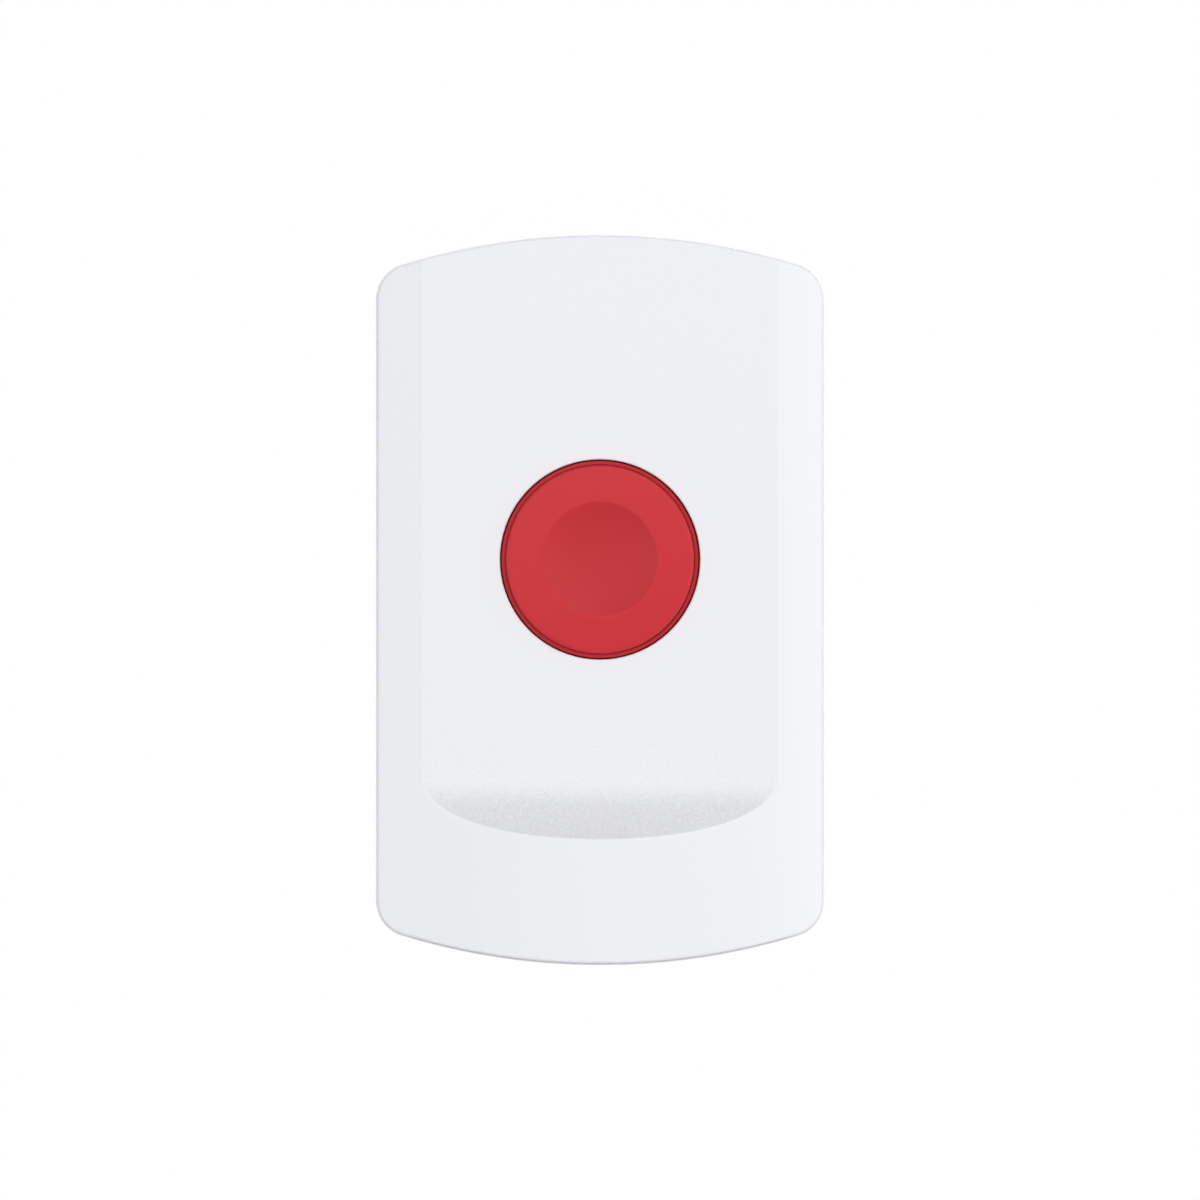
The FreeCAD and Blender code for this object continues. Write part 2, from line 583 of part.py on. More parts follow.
def wall_plate():
    """Wall plate: a tray with a rib round its edge, two countersunk screw holes and three hooks."""
    body = new_body("wall_plate")
    outline = front_sketch(body, "plate_outline")
    body_outline(outline, PLATE_EDGE)
    pad(body, outline, RIB_TOP)
    tray = front_sketch(body, "plate_tray", "Sizes.plate_thickness")
    body_outline(tray, f"({PLATE_EDGE} + Sizes.plate_rib_width)")
    pocket(body, tray, forwards=True)

    rings = front_sketch(body, "wall_bosses", "Sizes.plate_thickness")
    screws = front_sketch(body, "wall_screws", "Sizes.plate_thickness + Sizes.wall_boss_height")
    for name, up in (("upper", "Sizes.wall_screw_place"), ("lower", "-Sizes.wall_screw_place")):
        circle(rings, "Sizes.wall_boss_radius", up=up, name=name)
        circle(screws, "Sizes.wall_screw_radius", up=up, name=name)
    pad(body, rings, "Sizes.wall_boss_height")
    holes = body.newObject("PartDesign::Hole", "wall_screw_holes")
    holes.Profile = screws
    document.recompute()
    holes.DepthType = "ThroughAll"
    holes.setExpression("Diameter", "2*Sizes.wall_screw_radius")
    holes.HoleCutType = "Countersink"
    holes.HoleCutCustomValues = True
    holes.setExpression("HoleCutDiameter", "2*Sizes.countersink_radius")
    holes.HoleCutCountersinkAngle = 90
    document.recompute()

    stem_back = f"({HOOK_FACE} + Sizes.hook_thickness)"
    head = f"({LEDGE_TOP} + Sizes.hook_clearance)"
    for number, (end, left, right) in enumerate(HOOKS):
        stem = front_sketch(body, f"hook_stem{number}", "Sizes.plate_thickness/2")
        end_strip(stem, end, HOOK_FACE, stem_back, left, right)
        pad(body, stem, f"{head} + Sizes.hook_head - Sizes.plate_thickness/2")
        tip = front_sketch(body, f"hook_head{number}", head)
        stem_middle = f"({HOOK_FACE} + {stem_back})/2"
        end_strip(tip, end, f"({LEDGE_EDGE} - Sizes.hook_overlap)", stem_middle, left, right)
        pad(body, tip, "Sizes.hook_head")


def button_cap():
    """Cap that is pressed: a domed face with a finger dish, a ledge round it, a skirt with a guide band
    behind the panel, and a post on the switch's plunger."""
    body = new_body("button_cap")
    profile = new_sketch(body, "cap_profile", "YZ_Plane", up="Sizes.button_height")
    step = f"-({PANEL} - Sizes.cap_step_drop)"
    corners = (
        (f"-({DISH_EDGE} - Sizes.dish_depth)", "0"),
        (f"-{DISH_EDGE}", "Sizes.dish_radius"),
        (f"-{FACE_EDGE}", CAP_FACE),
        (step, CAP_FACE),
        (step, CAP_SKIRT),
        (f"-{PANEL_BACK}", CAP_SKIRT),
        (f"-{PANEL_BACK}", BAND),
        (f"-{BAND_BACK}", BAND),
        (f"-{BAND_BACK}", CAP_HOLLOW),
        (f"-{CAP_UNDERSIDE}", CAP_HOLLOW),
        (f"-{CAP_UNDERSIDE}", "Sizes.post_radius"),
        (f"-{PLUNGER_TOP}", "Sizes.post_radius"),
        (f"-{PLUNGER_TOP}", "0"),
    )
    chain(profile, corners, {0: (DISH_CURVE, -1), 1: ("Sizes.cap_dome_radius", 1)})
    revolve(body, profile)
    fillet(body, circle_edges(body.Shape, "Sizes.dish_radius", DISH_EDGE), "Sizes.dish_edge_radius")
    fillet(body, circle_edges(body.Shape, CAP_FACE, FACE_EDGE), "Sizes.cap_edge_radius")
    notch = front_sketch(body, "cap_notch", BAND_BACK, "Sizes.button_height")
    half = "(Sizes.key_width/2 + Sizes.key_clearance)"
    rectangle(notch, f"-{half}", f"{BAND} - Sizes.key_reach - Sizes.key_clearance", half, f"{BAND} + {PAST}")
    pattern_round(body, pocket(body, notch, "Sizes.band_length", forwards=True), notch, 3)


def return_spring():
    """Spring between the circuit board and the cap, round the switch."""
    body = new_body("return_spring")
    section = new_sketch(body, "spring_section", "YZ_Plane", up="Sizes.button_height")
    circle(section, "Sizes.spring_wire/2", f"-({CAP_UNDERSIDE} - Sizes.spring_wire/2)", "Sizes.spring_radius")
    helix = body.newObject("PartDesign::AdditiveHelix", "spring_turns")
    helix.Profile = section
    helix.ReferenceAxis = (section, ["H_Axis"])
    helix.Mode = "height-turns-angle"
    helix.setExpression("Height", f"{CAP_UNDERSIDE} - {BOARD_FRONT} - Sizes.spring_wire")
    helix.setExpression("Turns", "Sizes.spring_turns")
    document.recompute()


def switch_base():
    """Moulded base of the tactile switch, with the well that its plunger moves in and pegs for its top."""
    body = new_body("switch_base")
    half = "Sizes.switch_width/2"
    block = front_sketch(body, "base_block", BOARD_FRONT, "Sizes.button_height")
    rectangle(block, f"-{half}", f"-{half}", half, half)
    pad(body, block, "Sizes.switch_base_height")
    well = front_sketch(body, "base_well", WELL_FLOOR, "Sizes.button_height")
    circle(well, WELL_RADIUS)
    pocket(body, well, forwards=True)
    pegs = front_sketch(body, "base_pegs", f"{SWITCH_TOP} - Sizes.switch_wall", "Sizes.button_height")
    at_switch_pegs(pegs, "Sizes.switch_peg_radius")
    pad(body, pegs, "Sizes.switch_wall + Sizes.switch_plate_thickness + Sizes.switch_peg_rise")


def at_switch_pegs(sketch, radius):
    """Circle at each of the four pegs in the switch's corners."""
    for row in ("", "-"):
        for column in ("", "-"):
            name = "peg" + ("_low" if row else "_high") + ("_left" if column else "_right")
            circle(sketch, radius, column + "Sizes.switch_peg_place", row + "Sizes.switch_peg_place", name)


def switch_cover():
    """Steel top of the tactile switch, on the base's pegs, with the plunger's hole."""
    body = new_body("switch_cover")
    half = "Sizes.switch_width/2"
    plate = front_sketch(body, "switch_plate", SWITCH_TOP, "Sizes.button_height")
    rectangle(plate, f"-{half}", f"-{half}", half, half)
    circle(plate, "Sizes.plunger_radius + Sizes.plunger_clearance")
    at_switch_pegs(plate, "Sizes.switch_peg_radius")
    pad(body, plate, "Sizes.switch_plate_thickness")


def switch_plunger():
    """Plunger of the tactile switch: a stem through the steel top, with a foot that the top holds in."""
    body = new_body("switch_plunger")
    profile = new_sketch(body, "plunger_profile", "YZ_Plane", up="Sizes.button_height")
    foot = "(Sizes.plunger_radius + Sizes.plunger_foot_reach)"
    corners = (
        (f"-{PLUNGER_TOP}", "0"),
        (f"-{PLUNGER_TOP}", "Sizes.plunger_radius"),
        (f"-{SWITCH_TOP}", "Sizes.plunger_radius"),
        (f"-{SWITCH_TOP}", foot),
        (f"-({SWITCH_TOP} - Sizes.plunger_foot_height)", foot),
        (f"-({SWITCH_TOP} - Sizes.plunger_foot_height)", "0"),
    )
    chain(profile, corners)
    revolve(body, profile)


def contact_dome():
    """Springy steel dome on the floor of the switch's well, which closes the contact."""
    body = new_body("contact_dome")
    profile = new_sketch(body, "dome_profile", "YZ_Plane", up="Sizes.button_height")
    curve = "((Sizes.snap_dome_radius^2 + Sizes.snap_dome_rise^2)/(2*Sizes.snap_dome_rise))"
    inner = "(Sizes.snap_dome_radius - Sizes.snap_dome_sheet)"
    inner_rise = "(Sizes.snap_dome_rise - Sizes.snap_dome_sheet)"
    inner_curve = f"(({inner}^2 + {inner_rise}^2)/(2*{inner_rise}))"
    corners = (
        (f"-({WELL_FLOOR} + {inner_rise})", "0"),
        (f"-({WELL_FLOOR} + Sizes.snap_dome_rise)", "0"),
        (f"-{WELL_FLOOR}", "Sizes.snap_dome_radius"),
        (f"-{WELL_FLOOR}", inner),
    )
    chain(profile, corners, {1: (curve, 1), 3: (inner_curve, -1)})
    revolve(body, profile)


def switch_terminals():
    """Four legs of the switch: each runs down its side and out along the board."""
    body = new_body("switch_terminals")
    for name, reach, rise in (("feet", "Sizes.terminal_reach", "Sizes.terminal_sheet"),
                              ("risers", "Sizes.terminal_sheet", "Sizes.terminal_rise")):
        legs = front_sketch(body, "terminal_" + name, BOARD_FRONT, "Sizes.button_height")
        for number, (side, row) in enumerate(((1, 1), (1, -1), (-1, 1), (-1, -1))):
            near = f"{side}*(Sizes.switch_width/2)"
            far = f"{side}*(Sizes.switch_width/2 + {reach})"
            low = f"({row}*Sizes.terminal_place - Sizes.terminal_width/2)"
            high = f"({row}*Sizes.terminal_place + Sizes.terminal_width/2)"
            rectangle(legs, near, low, far, high, f"leg{number}_")
        pad(body, legs, rise)


def circuit_board():
    """Circuit board with round corners and its four screw holes."""
    body = new_body("circuit_board")
    outline = front_sketch(body, "board_outline", BOARD_BACK)
    side = "Sizes.board_width/2"
    end = "Sizes.board_length/2"
    corner = "Sizes.board_corner_radius"
    inner_side = f"({side} - {corner})"
    inner_end = f"({end} - {corner})"
    corners = (
        (f"-{inner_side}", f"-{end}"),
        (inner_side, f"-{end}"),
        (side, f"-{inner_end}"),
        (side, inner_end),
        (inner_side, end),
        (f"-{inner_side}", end),
        (f"-{side}", inner_end),
        (f"-{side}", f"-{inner_end}"),
    )
    chain(outline, corners, {number: (corner, -1) for number in (1, 3, 5, 7)})
    at_board_screws(outline, "Sizes.screw_radius + Sizes.board_hole_clearance")
    pad(body, outline, "Sizes.board_thickness")


def board_screws():
    """Four self-tapping screws that hold the board on the cover's bosses, driven from behind."""
    body = new_body("board_screws")
    heads = front_sketch(body, "screw_heads", SCREW_BACK)
    at_board_screws(heads, "Sizes.screw_head_radius")
    pad(body, heads, "Sizes.screw_head_height")
    shanks = front_sketch(body, "screw_shanks", BOARD_BACK)
    at_board_screws(shanks, "Sizes.screw_radius")
    pad(body, shanks, "Sizes.screw_length")
    for name, wide, high in (("level", "Sizes.screw_slot_length/2", "Sizes.screw_slot_width/2"),
                             ("upright", "Sizes.screw_slot_width/2", "Sizes.screw_slot_length/2")):
        slots = front_sketch(body, "screw_slots_" + name, SCREW_BACK)
        for number, (column, row) in enumerate(((1, 1), (1, -1), (-1, 1), (-1, -1))):
            across = f"({column}*Sizes.board_screw_x"
            up = f"({row}*Sizes.board_screw_z"
            rectangle(slots, f"{across} - {wide})", f"{up} - {high})", f"{across} + {wide})",
                      f"{up} + {high})", f"slot{number}_")
        pocket(body, slots, "Sizes.screw_slot_depth", forwards=True)


def battery_holder():
    """Moulded cup behind the board that the coin cell drops into, with a gap for a fingernail."""
    body = new_body("battery_holder")
    back = f"({BOARD_BACK} - Sizes.holder_height)"
    cup = front_sketch(body, "holder_cup", back, "-Sizes.cell_drop")
    circle(cup, HOLDER_RADIUS)
    pad(body, cup, "Sizes.holder_height")
    well = front_sketch(body, "holder_well", HOLDER_FLOOR, "-Sizes.cell_drop")
    circle(well, "Sizes.cell_radius + Sizes.cell_clearance")
    pocket(body, well)
    gap = front_sketch(body, "holder_gap", HOLDER_FLOOR, "-Sizes.cell_drop")
    half = "Sizes.holder_gap_width/2"
    rectangle(gap, f"-{half}", f"-({HOLDER_RADIUS} + {PAST})", half, "0")
    pocket(body, gap)


def coin_cell():
    """Sealed coin cell: the case's flat side faces back and its stepped lid faces the board."""
    body = new_body("coin_cell")
    profile = new_sketch(body, "cell_profile", "YZ_Plane", up="-Sizes.cell_drop")
    lid = "(Sizes.cell_radius - Sizes.cell_step_width)"
    corners = (
        (f"-{CELL_FRONT}", "0"),
        (f"-{CELL_FRONT}", lid),
        (f"-({CELL_FRONT} - Sizes.cell_step_depth)", lid),
        (f"-({CELL_FRONT} - Sizes.cell_step_depth)", "Sizes.cell_radius"),
        (f"-{CELL_BACK}", "Sizes.cell_radius"),
        (f"-{CELL_BACK}", "0"),
    )
    chain(profile, corners)
    revolve(body, profile)


def positive_contact():
    """Sprung strip across the back of the coin cell, with a leg and a soldered foot at each side."""
    body = new_body("positive_contact")
    sheet_width = "Sizes.contact_width/2"
    profile = new_sketch(body, "bridge_profile", "XY_Plane", f"-Sizes.cell_drop - {sheet_width}")
    inner = f"({HOLDER_RADIUS} + Sizes.contact_clearance)"
    outer = f"({inner} + Sizes.contact_sheet)"
    foot = f"({outer} + Sizes.contact_foot)"
    over = f"-({CELL_BACK} - Sizes.contact_sheet)"
    under = f"-{CELL_BACK}"
    top = f"-({BOARD_BACK} - Sizes.contact_sheet)"
    base = f"-{BOARD_BACK}"
    right = ((inner, under), (inner, base), (foot, base), (foot, top), (outer, top), (outer, over))
    left = tuple((f"-{across}", depth) for across, depth in reversed(right))
    chain(profile, right + left)
    pad(body, profile, "Sizes.contact_width")


def negative_contact():
    """Strip on the floor of the holder, under the coin cell's lid."""
    body = new_body("negative_contact")
    strip = front_sketch(body, "lower_strip", CELL_FRONT, "-Sizes.cell_drop")
    length = "Sizes.lower_contact_length/2"
    width = "Sizes.contact_width/2"
    rectangle(strip, f"-{length}", f"-{width}", length, width)
    pad(body, strip, "Sizes.contact_sheet")


def board_block(label, across, up, width, length, height):
    """Plain moulded component on the front of the board."""
    body = new_body(label)
    outline = front_sketch(body, label + "_outline", BOARD_FRONT)
    rectangle(outline, f"{across} - {width}/2", f"{up} - {length}/2", f"{across} + {width}/2",
              f"{up} + {length}/2")
    pad(body, outline, height)


def radio_chips():
    """Radio chip and its crystal beside it."""
    board_block("radio_chip", "Sizes.radio_x", "Sizes.radio_z", "Sizes.radio_width", "Sizes.radio_width",
                "Sizes.radio_height")
    beside = "(Sizes.radio_x + Sizes.radio_width/2 + Sizes.crystal_gap + Sizes.crystal_width/2)"
    board_block("crystal", beside, "Sizes.radio_z", "Sizes.crystal_width", "Sizes.crystal_length",
                "Sizes.crystal_height")


def chip_row(label, count, across, up):
    """Row of small chip components on the board, which runs across it from its first one."""
    body = new_body(label)
    outlines = front_sketch(body, label + "_outlines", BOARD_FRONT)
    for number in range(count):
        left = f"({across} + {number}*Sizes.chip_pitch)"
        rectangle(outlines, left, up, f"({left} + Sizes.chip_width)", f"({up} + Sizes.chip_length)",
                  f"chip{number}_")
    pad(body, outlines, "Sizes.chip_height")


def reservoir_capacitor():
    """Upright can that feeds the radio's bursts: a moulded foot, a rolled groove and an aluminium can."""
    body = new_body("reservoir_capacitor")
    foot = front_sketch(body, "can_foot", BOARD_FRONT)
    reach = "Sizes.reservoir_radius"
    rectangle(foot, f"Sizes.reservoir_x - {reach}", f"Sizes.reservoir_z - {reach}",
              f"Sizes.reservoir_x + {reach}", f"Sizes.reservoir_z + {reach}")
    pad(body, foot, "Sizes.reservoir_foot")
    for name, start, length, radius in (
        ("can_groove", "Sizes.reservoir_foot", "Sizes.reservoir_groove", f"{reach} - Sizes.reservoir_groove"),
        ("can_top", "Sizes.reservoir_foot + Sizes.reservoir_groove",
         "Sizes.reservoir_height - Sizes.reservoir_foot - Sizes.reservoir_groove", reach),
    ):
        can = front_sketch(body, name, f"{BOARD_FRONT} + {start}")
        circle(can, radius, "Sizes.reservoir_x", "Sizes.reservoir_z")
        pad(body, can, length)


def antenna_coil():
    """Wound antenna along the top of the board, with one end soldered down and the other free."""
    wire = size("Sizes.antenna_wire")
    radius = size("Sizes.antenna_radius")
    pitch = size("Sizes.antenna_pitch")
    board = size(BOARD_FRONT)
    axis_depth = board + size("Sizes.antenna_lift") + wire / 2 + radius
    start = Vector(size("Sizes.antenna_x"), 0, size("Sizes.antenna_z"))
    turns = Part.makeHelix(pitch, pitch * size("Sizes.antenna_turns"), radius)
    turns.rotate(Vector(), Vector(0, 1, 0), 90)
    turns.rotate(Vector(), Vector(1, 0, 0), -90)
    turns.translate(start + Vector(0, -axis_depth, 0))
    path = Part.Wire(turns.Edges)
    first = path.Edges[0]
    near = first.valueAt(first.FirstParameter)
    section = Part.Wire(Part.makeCircle(wire / 2, near, first.tangentAt(first.FirstParameter)))
    coil = path.makePipeShell([section], True, True)
    leg = Part.makeCylinder(wire / 2, -near.y - board, Vector(near.x, -board, near.z), Vector(0, -1, 0))
    knee = Part.makeSphere(wire / 2, near)
    piece = document.addObject("Part::Feature", "antenna_coil")
    piece.Label = "antenna_coil"
    piece.Shape = coil.fuse([leg, knee]).removeSplitter()


def write_pieces():
    """Check every object, then write each piece's solids to a file with the piece's name."""
    document.recompute()
    for item in document.Objects:
        if "Invalid" in item.State or "Error" in item.State:
            raise RuntimeError(f"{item.Label} failed: {item.State}")
    pieces = [item for item in document.Objects if item.TypeId in ("PartDesign::Body", "Part::Feature")]
    pieces = [item for item in pieces if item.Label != "cover_core"]
    for piece in pieces:
        if piece.Shape.isNull() or not piece.Shape.isValid() or piece.Shape.Volume <= 0:
            raise RuntimeError(f"{piece.Label} has no sound shape")
    os.makedirs("parts", exist_ok=True)
    for piece in pieces:
        piece.Shape.exportStep(f"parts/{piece.Label}.step")
        print(f"{piece.Label}: {len(piece.Shape.Solids)} solids, {piece.Shape.Volume:.2f} mm3")


front_cover()
wall_plate()
button_cap()
return_spring()
switch_base()
switch_cover()
switch_plunger()
contact_dome()
switch_terminals()
circuit_board()
board_screws()
battery_holder()
coin_cell()
positive_contact()
negative_contact()
radio_chips()
below_radio = "(Sizes.radio_z - Sizes.radio_width/2 - 2*Sizes.chip_length)"
below_antenna = "(Sizes.antenna_z - Sizes.antenna_radius - 3*Sizes.chip_length)"
chip_row("capacitors", 5, "Sizes.radio_x", below_radio)
chip_row("matching_coils", 3, "Sizes.antenna_x", below_antenna)
reservoir_capacitor()
antenna_coil()
write_pieces()
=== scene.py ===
import math

import bpy
import numpy as np
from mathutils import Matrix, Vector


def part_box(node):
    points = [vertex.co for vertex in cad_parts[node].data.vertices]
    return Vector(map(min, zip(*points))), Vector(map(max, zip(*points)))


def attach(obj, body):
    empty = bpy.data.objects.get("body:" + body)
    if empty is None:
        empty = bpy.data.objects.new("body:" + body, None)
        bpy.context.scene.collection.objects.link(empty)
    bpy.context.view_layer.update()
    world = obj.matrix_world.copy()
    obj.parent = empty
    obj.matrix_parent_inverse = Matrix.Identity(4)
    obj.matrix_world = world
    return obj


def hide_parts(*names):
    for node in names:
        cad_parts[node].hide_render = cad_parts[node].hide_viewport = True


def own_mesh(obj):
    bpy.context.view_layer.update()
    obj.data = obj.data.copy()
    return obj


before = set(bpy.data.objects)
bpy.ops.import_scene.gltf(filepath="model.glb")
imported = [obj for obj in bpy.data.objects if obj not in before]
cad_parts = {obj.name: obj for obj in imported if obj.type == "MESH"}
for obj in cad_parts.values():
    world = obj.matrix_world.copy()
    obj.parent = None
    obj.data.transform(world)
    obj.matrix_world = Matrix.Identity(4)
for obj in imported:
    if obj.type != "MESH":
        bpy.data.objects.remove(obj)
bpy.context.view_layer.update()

bl_info = {
    "name": "Wall panic button",
    "version": (1, 0, 0),
    "blender": (4, 5, 0),
    "location": "View3D > Sidebar > Panic button",
    "description": "Fine shapes and finishes of a moulded wall button with a red push cap",
    "category": "Object",
}

MM = 0.001
CORNERS = ((1, 1), (1, -1), (-1, 1), (-1, -1))
LINE_SPAN = (0.3, 0.7)


def node_box(node):
    """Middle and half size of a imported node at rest, in metres. The front faces -Y."""
    low, high = (np.array(corner, dtype=float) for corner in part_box(node))
    return (low + high) / 2, (high - low) / 2


def depth_span(node):
    """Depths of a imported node's back and front, measured from the wall."""
    middle, half = node_box(node)
    return -middle[1] - half[1], -middle[1] + half[1]


COVER_FRONT = depth_span("front_cover")[1]
CAP_BACK = depth_span("button_cap")[0]
BOARD_BACK, BOARD_FRONT = depth_span("circuit_board")
BUTTON_Z = node_box("return_spring")[0][2]


# Meshes. Every new piece is a grid of points worked out as whole arrays.

def closed_skin(grid):
    """Skin over a grid of rings, each once round, whose first and last ring close on a middle point. The
    faces are turned outwards: the volume they enclose, a sixth of the sum of p0 . (p1 x p2), is positive."""
    rows, columns, _ = grid.shape
    index = np.arange(rows * columns).reshape(rows, columns)
    beside = np.roll(index, -1, axis=1)
    quads = np.stack([index[:-1], beside[:-1], beside[1:], index[1:]], axis=-1).reshape(-1, 4)
    near = np.stack([np.full(columns, rows * columns), beside[0], index[0]], axis=-1)
    far = np.stack([np.full(columns, rows * columns + 1), index[-1], beside[-1]], axis=-1)
    points = np.concatenate([grid.reshape(-1, 3), [grid[0].mean(axis=0), grid[-1].mean(axis=0)]])
    fans = np.concatenate([near, far])
    corners = points[np.concatenate([quads[:, :3], quads[:, [0, 2, 3]], fans])] - points[0]
    if np.einsum("ij,ij->", corners[:, 0], np.cross(corners[:, 1], corners[:, 2])) < 0:
        quads, fans = quads[:, ::-1], fans[:, ::-1]
    return points, [quads, fans]


def new_piece(name, skins, material, replaced=(), sharp=30.0, body="housing"):
    """Mesh object at the origin with its place in its mesh, from skins of (points, list of face arrays)."""
    points, faces, start = [], [], 0
    for skin_points, skin_faces in skins:
        points.append(skin_points)
        faces.extend(block + start for block in skin_faces)
        start += len(skin_points)
    points = np.concatenate(points).astype(np.float32)
    corners = np.concatenate([block.ravel() for block in faces]).astype(np.int32)
    totals = np.concatenate([np.full(len(block), block.shape[1]) for block in faces])
    mesh = bpy.data.meshes.new(name)
    mesh.vertices.add(len(points))
    mesh.vertices.foreach_set("co", points.ravel())
    mesh.loops.add(len(corners))
    mesh.loops.foreach_set("vertex_index", corners)
    mesh.polygons.add(len(totals))
    mesh.polygons.foreach_set("loop_start", (np.cumsum(totals) - totals).astype(np.int32))
    mesh.update(calc_edges=True)
    if mesh.validate():
        raise RuntimeError(f"{name} has unsound faces")
    mesh.shade_smooth()
    mesh.set_sharp_from_angle(angle=math.radians(sharp))
    mesh.materials.append(material)
    piece = bpy.data.objects.new(name, mesh)
    bpy.context.scene.collection.objects.link(piece)
    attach(piece, body)
    if replaced:
        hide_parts(*replaced)
    return piece


def full_turn(count):
    """Angles once round."""
    return np.linspace(0, 2 * math.pi, count, endpoint=False)


def turned(line, angles, centre_x=0.0, centre_z=0.0, reach=None):
    """Rings of a line of (depth, radius) points turned about an axis along Y: x = cx + r cos(a), y = -depth,
    z = cz + r sin(a). reach gives r for each row and angle where it changes round the ring."""
    depth, radius = line[:, :1], line[:, 1:]
    reach = np.broadcast_to(radius, (len(line), len(angles))) if reach is None else reach
    return np.stack([centre_x + reach * np.cos(angles), np.broadcast_to(-depth, reach.shape),
                     centre_z + reach * np.sin(angles)], axis=-1)


def rounded_line(corners, steps=6):
    """Polyline whose corners are arcs. A corner is (a, b, radius). Its arc touches both runs at
    radius * tan(half the turn) from the corner, and its centre is radius / cos(half the turn) from it."""
    corners = np.asarray(corners, dtype=float)
    line = [corners[:1, :2]]
    for before, here, after in zip(corners[:-2], corners[1:-1], corners[2:]):
        back = before[:2] - here[:2]
        on = after[:2] - here[:2]
        back /= np.hypot(*back)
        on /= np.hypot(*on)
        half_turn = (math.pi - math.acos(np.clip(back @ on, -1, 1))) / 2
        if here[2] <= 0 or half_turn < 1e-3:
            line.append(here[None, :2])
            continue
        middle = here[:2] + (back + on) / np.hypot(*(back + on)) * here[2] / math.cos(half_turn)
        start = here[:2] + back * here[2] * math.tan(half_turn) - middle
        swing = -math.copysign(2 * half_turn, back[0] * on[1] - back[1] * on[0])
        angles = np.linspace(0, swing, steps)
        line.append(middle + np.stack([start[0] * np.cos(angles) - start[1] * np.sin(angles),
                                       start[0] * np.sin(angles) + start[1] * np.cos(angles)], axis=-1))
    line.append(corners[-1:, :2])
    return np.concatenate(line)


def swept(path, radius, sides=12):
    """Rings of a round wire along a path: p + r (cos(a) n + sin(a) b). n is across the path's tangent, as
    near as can be to the way out from the path's middle, and b is across both."""
    tangent = np.gradient(path, axis=0)
    tangent /= np.linalg.norm(tangent, axis=1, keepdims=True)
    out = path - path.mean(axis=0)
    out -= tangent * (out * tangent).sum(axis=1, keepdims=True)
    out /= np.linalg.norm(out, axis=1, keepdims=True)
    across = np.cross(tangent, out)
    angles = full_turn(sides)[None, :, None]
    return path[:, None] + radius * (np.cos(angles) * out[:, None] + np.sin(angles) * across[:, None])


def rounded_block(middle, half, radius, steps=4):
    """Skin of a block with round edges: a ball of the radius whose octants are pulled apart,
    p = middle + sign(n) (half - radius) + radius n, for each direction n of the ball."""
    quarter = np.linspace(1e-3, math.pi / 2 - 1e-3, steps)
    around = np.concatenate([quarter + turn * math.pi / 2 for turn in range(4)])
    up = np.concatenate([quarter - math.pi / 2, quarter])[:, None]
    ball = np.stack([np.cos(up) * np.cos(around), np.cos(up) * np.sin(around),
                     np.broadcast_to(np.sin(up), (2 * steps, 4 * steps))], axis=-1)
    return closed_skin(np.asarray(middle) + np.sign(ball) * (np.asarray(half) - radius) + radius * ball)


def solder_bank(start, along, away, rise):
    """Skin of a solder bank under a straight edge that begins at start and runs by the vector along. Its
    section is hollow: out by the vector away and forwards by rise, as (1 - sin t, 1 - cos t)."""
    turn = np.linspace(0, math.pi / 2, 7)
    out = np.append(1 - np.sin(turn), [0.0, 0.0])[:, None]
    up = np.append(1 - np.cos(turn), [0.6, 0.0])[:, None]
    section = out * np.asarray(away) + up * np.array([0.0, -rise, 0.0])
    share = np.array([0.0, 0.12, 0.5, 0.88, 1.0])[:, None, None]
    swell = np.array([0.55, 0.9, 1.0, 0.9, 0.55])[:, None, None]
    return closed_skin(np.asarray(start) + share * np.asarray(along) + swell * section)


# Materials.

